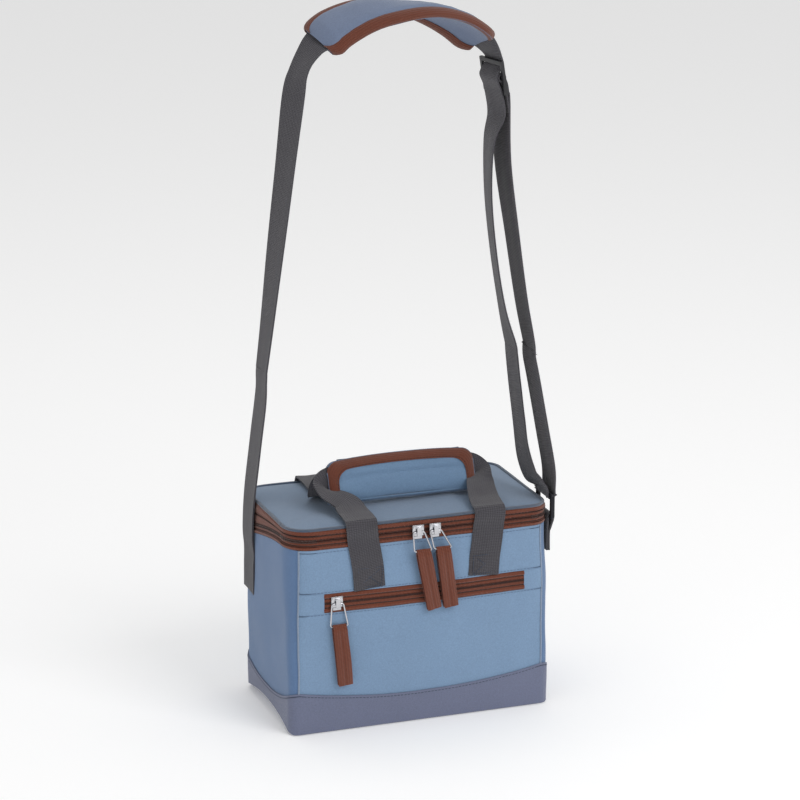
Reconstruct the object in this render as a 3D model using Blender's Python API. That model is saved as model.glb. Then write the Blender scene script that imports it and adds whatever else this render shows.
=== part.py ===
"""Insulated lunch cooler bag with a zipped lid, a front pocket, two carry handles that a padded
grip joins, and a padded shoulder strap. Metres, +X along the front, +Y to the back, +Z up, with
the origin at the middle of the base's underside."""

import math

import bmesh
import bpy
from mathutils import Vector

# ---------------------------------------------------------------- driving dimensions
BODY_WIDTH = 0.256
BODY_DEPTH = 0.146
FRONT_RADIUS = 0.0078
BACK_RADIUS = 0.020
SPLIT_HEIGHT = 0.1875  # where the main zip parts the lid from the body, at the front
HINGE_HEIGHT = 0.1670  # where the lid is sewn to the back

FABRIC = 0.0010
FOAM = 0.0060
FOIL = 0.0008
POCKET_SPACE = 0.0050
GAP = 0.0003  # between pieces that touch

# main zip and lid
TAPE_HEIGHT = 0.0082
COIL_HEIGHT = 0.0015
COIL_PROUD = 0.0007
ZIP_DIP_START_Y = -0.045
ZIP_END_Y = 0.050
LID_CROWN = 0.0025
LID_EDGE = 0.0027
LID_FOAM = 0.0070
PIPING_RADIUS = 0.0014

# front panel and its pocket
SEAM_X = 0.120
POCKET_TOP = 0.118
POCKET_ZIP_HEIGHT = 0.018
POCKET_ZIP_LEFT = -0.096
POCKET_ZIP_RIGHT = 0.102
POCKET_COIL_HEIGHT = 0.0026

# base band
BAND_FRONT_MIDDLE = 0.030
BAND_SIDE_MIDDLE = 0.024
BAND_CORNER = 0.041
BAND_LIFT = 0.0005

# webbing, handles and grip
WEBBING = 0.0015
STRAP_WEBBING = 0.0016
WEBBING_WIDTH = 0.030
HANDLE_SPACING = 0.112
HANDLE_SPREAD = 0.007
HANDLE_SHIFT = 0.004
HANDLE_FOOT = 0.1375
GRIP_LENGTH = 0.144
GRIP_HEIGHT = 0.039
GRIP_PAD = 0.0040
GRIP_TILT = math.radians(20)
GRIP_FOLD_Y = -0.022
GRIP_FOLD_HEIGHT = 0.2065
GRIP_FOLD_THICKNESS = 0.0021
GRIP_BINDING = 0.010
GRIP_BINDING_THICKNESS = 0.0008
GRIP_SLOT = 0.0058  # between the grip's two pads, where the webbing lies
GRIP_WEBBING = 0.022  # the webbing is squeezed narrower inside the grip

# zip sliders and pulls
SLIDER_WIDTH = 0.0066
SLIDER_LENGTH = 0.0120
SLIDER_THICKNESS = 0.0046
POCKET_SLIDER_THICKNESS = 0.0020
SLIDER_SLOT = 0.0022
HOOK_THICKNESS = 0.0014
WIRE_RADIUS = 0.0007
BAIL_LENGTH = 0.0180
BAIL_TOP_WIDTH = 0.0114
BAIL_BOTTOM_WIDTH = 0.0166
BAIL_REACH = 0.0028  # how far the bail leans out, so that its tab clears what is below
TAB_WIDTH = 0.0130
TAB_LENGTH = 0.0580
TAB_LAYER = 0.0010
SLIDER_LEFT_X = -0.0050
SLIDER_RIGHT_X = 0.0117
POCKET_SLIDER_X = -0.084

# shoulder strap
STRAP_SPLIT = 0.333  # below it the webbing flexes, above it the strap swings as one
ANCHOR_BOTTOM = 0.104
ANCHOR_TOP = 0.154
ANCHOR_Y = 0.048
TAB_BOTTOM = 0.150
RING_BAR = 0.0017
RING_Y = -0.051
RING_X = 0.1325
RING_Z = 0.1935
RING_OPENING = 0.0180
RING_INSIDE = 0.0312
GLIDE_X = 0.097
GLIDE_Z = 0.593
GLIDE_WIDTH = 0.0390
GLIDE_BAR = 0.0040
GLIDE_SIDE = 0.0035
GLIDE_SLOT = 0.0100
GLIDE_THICKNESS = 0.0030
PAD_WIDTH = 0.050
PAD_THICKNESS = 0.0080
PAD_LINING = 0.0020
PAD_BINDING = 0.0012
TWIST = math.radians(23)  # how far the strap turns towards the front by its top

# ---------------------------------------------------------------- worked out from them
HALF_WIDTH = BODY_WIDTH / 2
HALF_DEPTH = BODY_DEPTH / 2
WALL_BOTTOM = FABRIC + GAP
LID_TAPE_TOP = SPLIT_HEIGHT + GAP + TAPE_HEIGHT
COVER_BOTTOM = LID_TAPE_TOP + GAP
LID_TOP = COVER_BOTTOM + LID_EDGE + LID_CROWN
FOAM_OUT = FABRIC + GAP
FOAM_IN = FOAM_OUT + FOAM
FLOOR_FOAM_TOP = WALL_BOTTOM + FOAM
FOAM_TOP = SPLIT_HEIGHT - 0.0015
FRONT_WALL_Y = -HALF_DEPTH + FABRIC + POCKET_SPACE
FRONT_FOAM_Y = FRONT_WALL_Y + FABRIC + GAP
HINGE_Y = HALF_DEPTH + 0.0004
BACK_SEAM_X = HALF_WIDTH - BACK_RADIUS - 0.004
POCKET_ZIP_TOP = POCKET_TOP + POCKET_ZIP_HEIGHT


def material(name, colour, roughness, metallic=0.0):
    """A Principled material; colour is linear red, green and blue."""
    made = bpy.data.materials.new(name)
    made.use_nodes = True
    shader = made.node_tree.nodes["Principled BSDF"]
    shader.inputs["Base Color"].default_value = (*colour, 1.0)
    shader.inputs["Roughness"].default_value = roughness
    shader.inputs["Metallic"].default_value = metallic
    made.diffuse_color = (*colour, 1.0)
    return made


def make_object(name, shape, finish, origin=(0, 0, 0), parent=None, smooth=True):
    """Turns a bmesh in world coordinates into a named object whose origin is at the given point."""
    bmesh.ops.remove_doubles(shape, verts=shape.verts, dist=1e-7)
    bmesh.ops.recalc_face_normals(shape, faces=shape.faces)
    bmesh.ops.translate(shape, verts=shape.verts, vec=-Vector(origin))
    mesh = bpy.data.meshes.new(name)
    shape.to_mesh(mesh)
    shape.free()
    mesh.materials.append(finish)
    if smooth:
        mesh.shade_smooth()
        mesh.set_sharp_from_angle(angle=math.radians(35))
    made = bpy.data.objects.new(name, mesh)
    bpy.context.scene.collection.objects.link(made)
    place(made, origin, parent)
    return made


def place(made, origin, parent):
    """Sets an object's world position, under its parent if it has one."""
    if parent is None:
        made.location = origin
        return
    made.parent = parent
    made.location = Vector(origin) - world_place(parent)


def world_place(thing):
    """World position of an object or empty whose parents are neither turned nor scaled."""
    total = Vector(thing.location)
    while thing.parent:
        thing = thing.parent
        total += thing.location
    return total


def pivot(name, position, parent=None):
    """An empty on a joint's axis, the parent of everything that the joint moves."""
    made = bpy.data.objects.new(name, None)
    made.empty_display_size = 0.02
    bpy.context.scene.collection.objects.link(made)
    place(made, position, parent)
    return made


# ---------------------------------------------------------------- shape tools
def arc(centre, radius, start, end, segments):
    """Points of a plane arc, angles in degrees."""
    points = []
    for step in range(segments + 1):
        angle = math.radians(start + (end - start) * step / segments)
        points.append((centre[0] + radius * math.cos(angle), centre[1] + radius * math.sin(angle)))
    return points


def corner(side, end, outward):
    """One rounded corner of the body's plan outline moved outwards, anticlockwise from above."""
    radius = FRONT_RADIUS if end < 0 else BACK_RADIUS
    centre = (side * (HALF_WIDTH - radius), end * (HALF_DEPTH - radius))
    start = {(-1, -1): 180, (1, -1): 270, (1, 1): 0, (-1, 1): 90}[side, end]
    segments = 5 if end < 0 else 8
    return arc(centre, max(radius + outward, 0.0015), start, start + 90, segments)


def outline(outward):
    """The body's whole plan outline, moved outwards."""
    return corner(-1, -1, outward) + corner(1, -1, outward) + corner(1, 1, outward) + corner(-1, 1, outward)


def front_path(outward, end_y):
    """The outline's front and sides, from the left side at end_y round to the right."""
    half = HALF_WIDTH + outward
    return [(-half, end_y)] + corner(-1, -1, outward) + corner(1, -1, outward) + [(half, end_y)]


def back_path(outward, end_y):
    """The outline's back, from the right side at end_y round to the left."""
    half = HALF_WIDTH + outward
    return [(half, end_y)] + corner(1, 1, outward) + corner(-1, 1, outward) + [(-half, end_y)]


def wall(outer, inner, bottom, top, closed):
    """An upright wall between two plan lines; bottom and top are heights or lists of them."""
    shape = bmesh.new()
    bottoms = bottom if isinstance(bottom, list) else [bottom] * len(outer)
    tops = top if isinstance(top, list) else [top] * len(outer)
    sections = []
    for out, into, low, high in zip(outer, inner, bottoms, tops):
        corners = ((out, low), (out, high), (into, high), (into, low))
        sections.append([shape.verts.new((*point, level)) for point, level in corners])
    bridge_sections(shape, sections, closed)
    return shape


def bridge_sections(shape, sections, closed):
    """Skins a row of equal polygon sections, and caps its ends unless the row closes on itself."""
    count = len(sections[0])
    pairs = list(zip(sections, sections[1:]))
    if closed:
        pairs.append((sections[-1], sections[0]))
    else:
        shape.faces.new(sections[0])
        shape.faces.new(reversed(sections[-1]))
    for one, other in pairs:
        for index in range(count):
            after = (index + 1) % count
            shape.faces.new((one[index], other[index], other[after], one[after]))


def loft(rings):
    """A solid through closed rings of equal length, capped at its first and last ring."""
    shape = bmesh.new()
    sections = [[shape.verts.new(point) for point in ring] for ring in rings]
    bridge_sections(shape, sections, closed=False)
    return shape


def slab(ring, bottom, top):
    """A flat plate with the given plan outline."""
    return loft([[(x, y, bottom) for x, y in ring], [(x, y, top) for x, y in ring]])


def block(low, high):
    """A cuboid between two corners."""
    ring = [(low[0], low[1]), (high[0], low[1]), (high[0], high[1]), (low[0], high[1])]
    return slab(ring, low[2], high[2])


def offset_line(points, distance):
    """A plane polyline moved sideways, to the left of its direction where distance is positive."""
    moved = []
    for index, point in enumerate(points):
        before = Vector(points[max(index - 1, 0)])
        after = Vector(points[min(index + 1, len(points) - 1)])
        here = Vector(point)
        first = (here - before).normalized() if index else (after - here).normalized()
        second = (after - here).normalized() if index < len(points) - 1 else first
        middle = (first + second).normalized()
        reach = distance / max(middle.dot(first), 0.5)
        moved.append((here.x - middle.y * reach, here.y + middle.x * reach))
    return moved


def smooth_line(points, per_span):
    """A Catmull-Rom curve through points of any dimension."""
    made = []
    count = len(points)
    vectors = [Vector(point) for point in points]
    for index in range(count - 1):
        before = vectors[max(index - 1, 0)]
        start = vectors[index]
        end = vectors[index + 1]
        after = vectors[min(index + 2, count - 1)]
        for step in range(per_span):
            part = step / per_span
            made.append(
                0.5
                * (
                    2 * start
                    + (end - before) * part
                    + (2 * before - 5 * start + 4 * end - after) * part**2
                    + (3 * start - before - 3 * end + after) * part**3
                )
            )
    made.append(vectors[-1])
    return made


def folded_strip(line, thickness, across, to_world):
    """A strip of constant section: a plane line given thickness and drawn out across its plane."""
    left = offset_line(line, thickness / 2)
    right = offset_line(line, -thickness / 2)
    shape = bmesh.new()
    sections = []
    for one, other in zip(left, right):
        corners = ((across[0], one), (across[1], one), (across[1], other), (across[0], other))
        sections.append([shape.verts.new(to_world(along, *point)) for along, point in corners])
    bridge_sections(shape, sections, closed=False)
    return shape


def webbing_run(route, thickness, per_span):
    """Flat webbing along a route of points, each with a vector right across its width."""
    values = smooth_line([(*point, *across) for point, across in route], per_span)
    points = [Vector(value[:3]) for value in values]
    shape = bmesh.new()
    sections = []
    for index, value in enumerate(values):
        ahead = points[min(index + 1, len(points) - 1)] - points[max(index - 1, 0)]
        ahead.normalize()
        across = Vector(value[3:6])
        width = across.length
        across = (across - ahead * across.dot(ahead)).normalized() * width / 2
        through = ahead.cross(across).normalized() * thickness / 2
        middle = points[index]
        corners = (across + through, through - across, -across - through, across - through)
        sections.append([shape.verts.new(middle + offset) for offset in corners])
    bridge_sections(shape, sections, closed=False)
    return shape


def loop_tube(points, radius, sides):
    """A closed ring of round bar through points that lie in a plane or nearly so."""
    shape = bmesh.new()
    count = len(points)
    vectors = [Vector(point) for point in points]
    normal = Vector((0, 0, 0))
    for index in range(count):
        normal += vectors[index].cross(vectors[(index + 1) % count])
    normal.normalize()
    sections = []
    for index, here in enumerate(vectors):
        first = (here - vectors[index - 1]).normalized()
        ahead = (first + (vectors[(index + 1) % count] - here).normalized()).normalized()
        outward = ahead.cross(normal).normalized()
        stretch = 1 / max(first.dot(ahead), 0.6)
        section = []
        for side in range(sides):
            angle = 2 * math.pi * side / sides
            reach = outward * math.cos(angle) * stretch + normal * math.sin(angle)
            section.append(shape.verts.new(here + reach * radius))
        sections.append(section)
    bridge_sections(shape, sections, closed=True)
    return shape


def thick_grid(front, back, filled):
    """A sheet of cells between a front and a back grid of points, keeping the filled cells."""
    shape = bmesh.new()
    corners = {}

    def corner_at(layer, row, column):
        key = (layer, row, column)
        if key not in corners:
            corners[key] = shape.verts.new((front if layer else back)[row][column])
        return corners[key]

    rows, columns = len(front) - 1, len(front[0]) - 1
    kept = {(r, c) for r in range(rows) for c in range(columns) if filled(r, c)}
    for row, column in kept:
        square = [(row, column), (row, column + 1), (row + 1, column + 1), (row + 1, column)]
        shape.faces.new([corner_at(True, *spot) for spot in square])
        shape.faces.new([corner_at(False, *spot) for spot in reversed(square)])
        neighbours = [(row - 1, column), (row, column + 1), (row + 1, column), (row, column - 1)]
        for index, neighbour in enumerate(neighbours):
            if neighbour in kept:
                continue
            one, other = square[index], square[(index + 1) % 4]
            ends = ((True, one), (False, one), (False, other), (True, other))
            shape.faces.new([corner_at(layer, *spot) for layer, spot in ends])
    return shape


def clear_scene():
    for thing in list(bpy.data.objects):
        bpy.data.objects.remove(thing, do_unlink=True)


clear_scene()
blue_canvas = material("blue_canvas", (0.18, 0.28, 0.40), 0.85)
side_canvas = material("side_canvas", (0.16, 0.25, 0.36), 0.85)
lid_canvas = material("lid_canvas", (0.17, 0.24, 0.32), 0.85)
slate_canvas = material("slate_canvas", (0.13, 0.14, 0.21), 0.85)
brown_tape = material("brown_tape", (0.10, 0.035, 0.02), 0.8)
brown_binding = material("brown_binding", (0.11, 0.04, 0.025), 0.75)
brown_tab = material("brown_tab", (0.16, 0.05, 0.03), 0.75)
brown_coil = material("brown_coil", (0.06, 0.02, 0.012), 0.45)
dark_webbing = material("dark_webbing", (0.06, 0.06, 0.068), 0.8)
dark_piping = material("dark_piping", (0.03, 0.05, 0.08), 0.7)
silver_metal = material("silver_metal", (0.75, 0.75, 0.76), 0.28, 1.0)
black_plastic = material("black_plastic", (0.015, 0.015, 0.017), 0.4)
black_steel = material("black_steel", (0.03, 0.03, 0.033), 0.35, 1.0)
white_foam = material("white_foam", (0.75, 0.76, 0.76), 0.9)
foil_sheet = material("foil_sheet", (0.72, 0.74, 0.75), 0.3, 0.8)
hook_and_loop = material("hook_and_loop", (0.02, 0.02, 0.022), 0.95)


# ---------------------------------------------------------------- base, walls and band
def build_base():
    make_object("base_panel", slab(outline(0), 0, FABRIC), slate_canvas)
    make_object("foam_base", slab(outline(-FOAM_OUT), WALL_BOTTOM, FLOOR_FOAM_TOP), white_foam)


def band_height(point):
    """Top edge of the base band: a hollow curve along each face, highest at the corners."""
    x, y = point
    along_front = abs(x) / SEAM_X
    along_side = abs(y) / HALF_DEPTH
    front = BAND_FRONT_MIDDLE + (BAND_CORNER - BAND_FRONT_MIDDLE) * min(along_front, 1) ** 2
    side = BAND_SIDE_MIDDLE + (BAND_CORNER - BAND_SIDE_MIDDLE) * min(along_side, 1) ** 2
    return side if abs(x) > SEAM_X else front


def build_band():
    """One strip of fabric round the foot of the walls."""
    def ring(outward):
        half, deep = HALF_WIDTH + outward, HALF_DEPTH + outward
        steps = (-0.8, -0.6, -0.4, -0.2, 0, 0.2, 0.4, 0.6, 0.8)
        points = corner(-1, -1, outward) + [(SEAM_X * step, -deep) for step in steps]
        points += corner(1, -1, outward)
        straight = HALF_DEPTH - BACK_RADIUS
        points += [(half, straight * step) for step in (-0.9, -0.45, 0, 0.5)]
        points += corner(1, 1, outward)
        points += [(-(HALF_WIDTH - BACK_RADIUS) * step, deep) for step in (-0.7, -0.35, 0, 0.35, 0.7)]
        points += corner(-1, 1, outward)
        points += [(-half, straight * step) for step in (0.5, 0, -0.45, -0.9)]
        return points

    heights = [band_height(point) for point in ring(0)]
    shape = wall(ring(GAP + FABRIC), ring(GAP), BAND_LIFT, heights, closed=True)
    make_object("base_band", shape, slate_canvas)


def split_height(y):
    """Height of the main zip's middle: level along the front, dipping towards the back."""
    if y < ZIP_DIP_START_Y:
        return SPLIT_HEIGHT
    part = (y - ZIP_DIP_START_Y) / (ZIP_END_Y - ZIP_DIP_START_Y)
    return SPLIT_HEIGHT - (SPLIT_HEIGHT - HINGE_HEIGHT - 0.003) * part**1.35


def side_steps():
    """Places along a side, front to back, that the dipping zip is drawn through."""
    count = 8
    span = ZIP_END_Y - ZIP_DIP_START_Y
    return [ZIP_DIP_START_Y + span * step / count for step in range(count + 1)]


def zip_path(outward):
    """The main zip's plan line: from the left end round the front to the right end."""
    half = HALF_WIDTH + outward
    left = [(-half, y) for y in reversed(side_steps())]
    right = [(half, y) for y in side_steps()]
    return left + corner(-1, -1, outward) + corner(1, -1, outward) + right


def zip_wall(outer, inner, below, above):
    """A wall along the main zip, between two heights measured from the zip's middle. One metre
    above stands for the lid's lower edge."""
    path = zip_path(outer)
    bottoms = [split_height(y) + below for _, y in path]
    tops = [split_height(y) + above for _, y in path] if above < 1 else [LID_TAPE_TOP] * len(path)
    return wall(path, zip_path(inner), bottoms, tops, closed=False)


def build_gusset(side, name):
    """A side panel that wraps round both corners to its seams on the front and the back."""
    def path(outward):
        half, deep = HALF_WIDTH + outward, HALF_DEPTH + outward
        along = [(side * half, y) for y in side_steps()]
        behind = [(side * half, ZIP_END_Y + GAP)]
        front, back = corner(side, -1, outward), corner(side, 1, outward)
        if side < 0:
            front, back = front[::-1], back[::-1]
        start = [(side * (SEAM_X + GAP / 2), -deep)]
        return start + front[1:] + along + behind + back + [(side * BACK_SEAM_X, deep)]

    points = path(0)
    tops = []
    for _, y in points:
        zipped = y < ZIP_END_Y + GAP / 2
        tops.append(split_height(y) - 2 * GAP - TAPE_HEIGHT if zipped else HINGE_HEIGHT - GAP / 2)
    shape = wall(points, path(-FABRIC), WALL_BOTTOM, tops, closed=False)
    make_object(name, shape, side_canvas)


def build_front():
    """The front between the two seams: the pocket's panel and zip, and the panel above it."""
    deep = HALF_DEPTH
    edge = SEAM_X - GAP / 2
    top = SPLIT_HEIGHT - 2 * GAP - TAPE_HEIGHT
    panel = block((-edge, -deep, WALL_BOTTOM), (edge, FABRIC - deep, POCKET_TOP - GAP))
    make_object("front_pocket_panel", panel, blue_canvas)
    upper = block((-edge, -deep, POCKET_ZIP_TOP + GAP), (edge, FABRIC - deep, top))
    make_object("front_upper_panel", upper, blue_canvas)
    patches = (
        ("pocket_zip_end_left", -edge, POCKET_ZIP_LEFT - GAP),
        ("pocket_zip_end_right", POCKET_ZIP_RIGHT + GAP, edge),
    )
    for name, left, right in patches:
        patch = block((left, -deep, POCKET_TOP), (right, FABRIC - deep, POCKET_ZIP_TOP))
        make_object(name, patch, blue_canvas)
    middle = POCKET_TOP + POCKET_ZIP_HEIGHT / 2
    halves = (
        ("pocket_zip_lower_tape", POCKET_TOP, middle - GAP / 2),
        ("pocket_zip_upper_tape", middle + GAP / 2, POCKET_ZIP_TOP),
    )
    for name, low, high in halves:
        tape = block((POCKET_ZIP_LEFT, -deep, low), (POCKET_ZIP_RIGHT, FABRIC - deep, high))
        make_object(name, tape, brown_tape)
    coil = block(
        (POCKET_ZIP_LEFT + GAP, -deep - GAP - COIL_PROUD, middle - POCKET_COIL_HEIGHT / 2),
        (POCKET_ZIP_RIGHT - GAP, -deep - GAP, middle + POCKET_COIL_HEIGHT / 2),
    )
    make_object("pocket_zip_coil", coil, brown_coil)
    inner = block(
        (3 * GAP - HALF_WIDTH + FOAM_OUT, FRONT_WALL_Y, FLOOR_FOAM_TOP + GAP),
        (HALF_WIDTH - FOAM_OUT - 3 * GAP, FRONT_WALL_Y + FABRIC, FOAM_TOP),
    )
    make_object("front_inner_wall", inner, slate_canvas)


def build_back():
    deep = HALF_DEPTH
    edge = BACK_SEAM_X - GAP
    panel = block((-edge, deep - FABRIC, WALL_BOTTOM), (edge, deep, HINGE_HEIGHT - GAP / 2))
    make_object("back_panel", panel, blue_canvas)


def build_insulation():
    """Foam in the walls and one folded tub of foil-faced sheet inside it."""
    low = FLOOR_FOAM_TOP + GAP
    front_y = FRONT_FOAM_Y
    back_y = HALF_DEPTH - FOAM_OUT
    side_x = HALF_WIDTH - FOAM_OUT
    between = side_x - FOAM - GAP
    inside_y = (front_y + FOAM + GAP, back_y - FOAM - GAP)
    corner_cut = BACK_RADIUS
    side_y = (front_y, HALF_DEPTH - corner_cut)
    slabs = (
        ("foam_front", (-between, front_y), (between, front_y + FOAM)),
        ("foam_back", (-side_x + corner_cut, back_y - FOAM), (side_x - corner_cut, back_y)),
        ("foam_left", (-side_x, side_y[0]), (-side_x + FOAM, side_y[1])),
        ("foam_right", (side_x - FOAM, side_y[0]), (side_x, side_y[1])),
    )
    for name, near, far in slabs:
        make_object(name, block((*near, low), (*far, FOAM_TOP)), white_foam)

    def tub(inset):
        half = between - inset
        return [
            (-half, inside_y[0] + inset),
            (half, inside_y[0] + inset),
            (half, inside_y[1] - corner_cut + inset / 2),
            (half - corner_cut + inset / 2, inside_y[1] - inset),
            (-half + corner_cut - inset / 2, inside_y[1] - inset),
            (-half, inside_y[1] - corner_cut + inset / 2),
        ]

    shape = bmesh.new()
    levels = ((0, low), (0, FOAM_TOP), (FOIL, FOAM_TOP), (FOIL, low + FOIL))
    sections = []
    for inset, level in levels:
        sections.append([shape.verts.new((x, y, level)) for x, y in tub(inset)])
    bridge_sections(shape, sections, closed=False)
    make_object("liner_tub", shape, foil_sheet)


# ---------------------------------------------------------------- main zip and lid
def build_zip_lower():
    shape = zip_wall(0, -FABRIC, -GAP - TAPE_HEIGHT, -GAP)
    make_object("main_zip_lower_tape", shape, brown_tape)
    shape = zip_wall(GAP + COIL_PROUD, GAP, -GAP / 2 - COIL_HEIGHT, -GAP / 2)
    make_object("main_zip_lower_coil", shape, brown_coil)


def build_lid():
    hinge = pivot("lid_hinge", (0, HINGE_Y, HINGE_HEIGHT))
    place_at = (0, HINGE_Y, HINGE_HEIGHT)

    def add(name, shape, finish):
        make_object(name, shape, finish, place_at, hinge)

    add("main_zip_upper_tape", zip_wall(0, -FABRIC, GAP, 1), brown_tape)
    add("main_zip_upper_coil", zip_wall(GAP + COIL_PROUD, GAP, GAP / 2, GAP / 2 + COIL_HEIGHT), brown_coil)
    start = ZIP_END_Y + GAP
    collar = wall(back_path(0, start), back_path(-FABRIC, start), HINGE_HEIGHT + GAP / 2, LID_TAPE_TOP, False)
    add("lid_back_collar", collar, side_canvas)
    side_x = HALF_WIDTH - FOAM_OUT
    back_y = HALF_DEPTH - FOAM_IN - GAP
    cut = BACK_RADIUS - FOAM_IN
    near = -HALF_DEPTH + FOAM_OUT
    nick = FRONT_RADIUS * 0.9
    plan = [(-side_x, near + nick), (-side_x + nick, near), (side_x - nick, near), (side_x, near + nick)]
    plan += [(side_x, back_y - cut), (side_x - cut, back_y), (-side_x + cut, back_y), (-side_x, back_y - cut)]
    bottom = LID_TAPE_TOP - LID_FOAM
    add("lid_foam", slab(plan, bottom, LID_TAPE_TOP), white_foam)
    add("lid_liner", slab(plan, bottom - GAP - FOIL, bottom - GAP), foil_sheet)
    edge = -2 * PIPING_RADIUS - GAP
    rings = [[(x, y, COVER_BOTTOM) for x, y in outline(edge)]]
    rings.append([(x, y, COVER_BOTTOM + LID_EDGE) for x, y in outline(edge)])
    for share, scale in ((0.45, 0.955), (0.8, 0.84), (1.0, 0.6)):
        level = COVER_BOTTOM + LID_EDGE + LID_CROWN * share
        rings.append([(x * scale, y * scale, level) for x, y in outline(edge)])
    add("lid_panel", loft(rings), lid_canvas)
    level = COVER_BOTTOM + PIPING_RADIUS
    points = [(x, y, level) for x, y in outline(-PIPING_RADIUS)]
    add("lid_piping", loop_tube(points, PIPING_RADIUS, 8), dark_piping)


# ---------------------------------------------------------------- handles and grip
def grip_point(outward, up):
    """World Y and Z of a place in the grip's section: out from its middle, and up from its fold."""
    tilt = GRIP_TILT
    y = GRIP_FOLD_Y - math.cos(tilt) * outward + math.sin(tilt) * up
    z = GRIP_FOLD_HEIGHT + math.sin(tilt) * outward + math.cos(tilt) * up
    return y, z


def handle_route(face, side, depth):
    """Half of a handle: from its foot on the front or back, over the lid, into the grip."""
    def leg(y, z, out):
        x = HANDLE_SHIFT + side * (HANDLE_SPACING / 2 + HANDLE_SPREAD * out)
        return (x, y, z), (WEBBING_WIDTH, 0, 0)

    skin = HALF_DEPTH + GAP + WEBBING / 2
    proud = skin + COIL_PROUD + 2 * GAP
    over = LID_TOP + 3 * GAP + WEBBING / 2
    route = [leg(face * skin, HANDLE_FOOT, 0), leg(face * skin, HANDLE_FOOT + 0.018, 0.2)]
    route += [leg(face * proud, 0.176, 0.6), leg(face * (proud + 0.0003), 0.196, 1)]
    route += [leg(face * (HALF_DEPTH + 0.0010), over - 0.0012, 1)]
    route += [leg(face * (HALF_DEPTH - 0.006), over, 1.05)]
    entry = grip_point(depth, 0.002)
    landing = entry[0] + face * 0.0105
    if face > 0:
        route += [leg(0.040, over, 1.4), leg(0.012, over, 1.9)]
    else:
        route += [leg(-0.058, over, 1.3)]
    route += [((side * 0.0770, landing + face * 0.008, over + 0.0002), (0.024, 0, 0))]
    route += [((side * 0.0815, landing, over + 0.0010), (0.018, 0, 0))]
    low = grip_point(depth * 2.2, 0.0065)
    route += [((side * 0.0840, *low), (0.018, 0, 0))]
    bend = grip_point(depth * 1.7, 0.0150)
    slant = GRIP_WEBBING * 0.62
    up = grip_point(0, 1)
    direction = Vector((0, up[0] - GRIP_FOLD_Y, up[1] - GRIP_FOLD_HEIGHT))
    diagonal = (Vector((1, 0, 0)) + direction * side) * slant
    route += [((side * 0.0815, *bend), tuple(diagonal))]
    inside = grip_point(depth, 0.0205)
    flat = direction * GRIP_WEBBING * side
    route += [((side * 0.0710, *inside), tuple(flat))]
    route += [((side * 0.0450, *inside), tuple(flat))]
    route += [((side * 0.0150, *inside), tuple(flat))]
    return route


def build_handle(name, face, parent, pivot_place):
    """One loop of webbing: two legs sewn to a face of the bag, joined by a bar inside the grip."""
    depth = -face * (WEBBING / 2 + 0.0009)
    left = handle_route(face, -1, depth)
    right = handle_route(face, 1, depth)
    turned = [(point, tuple(-value for value in across)) for point, across in reversed(right)]
    shape = webbing_run(left + turned, WEBBING, 4)
    make_object(name, shape, dark_webbing, pivot_place, parent)


def grip_plate(outward, up, across):
    """A plate of the grip: ranges out from its middle, up from its fold, and along the bag."""
    shape = bmesh.new()
    sections = []
    for x in across:
        corners = ((outward[0], up[0]), (outward[1], up[0]), (outward[1], up[1]), (outward[0], up[1]))
        sections.append([shape.verts.new((x, *grip_point(*spot))) for spot in corners])
    bridge_sections(shape, sections, closed=False)
    return shape


def grip_frame(outward, up, across, border):
    """A binding round the left, top and right edges of one of the grip's pads."""
    heights = (up[0], up[1] - border, up[1])
    lengths = (across[0], across[0] + border, across[1] - border, across[1])

    def layer(out):
        return [[(x, *grip_point(out, height)) for x in lengths] for height in heights]

    return thick_grid(layer(outward[0]), layer(outward[1]), lambda row, column: row == 1 or column != 1)


def build_grip(front_pivot, front_place):
    """The padded grip: a pad sewn to the front handle, and a flap that closes round the back one."""
    half = GRIP_SLOT / 2
    across = (-GRIP_LENGTH / 2, GRIP_LENGTH / 2)
    outer = half + GRIP_PAD

    def section(points):
        return folded_profile([grip_point(*spot) for spot in points], across)

    profile = [(outer, GRIP_HEIGHT), (half, GRIP_HEIGHT), (half, 0.0), (-outer, 0.0)]
    profile += [(-outer, -GRIP_FOLD_THICKNESS), (outer, -GRIP_FOLD_THICKNESS)]
    make_object("grip_front_pad", section(profile), blue_canvas, front_place, front_pivot)
    skin = (outer + GAP, outer + GAP + GRIP_BINDING_THICKNESS)
    frame = grip_frame(skin, (0.002, GRIP_HEIGHT), across, GRIP_BINDING)
    make_object("grip_front_binding", frame, brown_binding, front_place, front_pivot)
    flap_place = (0, *grip_point(-outer, GAP))
    flap_pivot = pivot("grip_flap_hinge", flap_place, front_pivot)
    flap = grip_plate((-outer, -half), (GAP, GRIP_HEIGHT), across)
    make_object("grip_flap", flap, blue_canvas, flap_place, flap_pivot)
    frame = grip_frame((-skin[1], -skin[0]), (0.002, GRIP_HEIGHT), across, GRIP_BINDING)
    make_object("grip_flap_binding", frame, brown_binding, flap_place, flap_pivot)
    strip = (across[0] + 0.012, across[1] - 0.012)
    heights = (GRIP_HEIGHT - 0.0055, GRIP_HEIGHT - 0.0005)
    hooks = grip_plate((half - GAP - 0.0022, half - GAP), heights, strip)
    make_object("grip_hook_strip", hooks, hook_and_loop, front_place, front_pivot)
    loops = grip_plate((-half + GAP, -half + GAP + 0.0022), heights, strip)
    make_object("grip_loop_strip", loops, hook_and_loop, flap_place, flap_pivot)


def folded_profile(points, across):
    """A solid with the given outline in Y and Z, drawn out along X."""
    return loft([[(x, *point) for point in points] for x in across])


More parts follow.
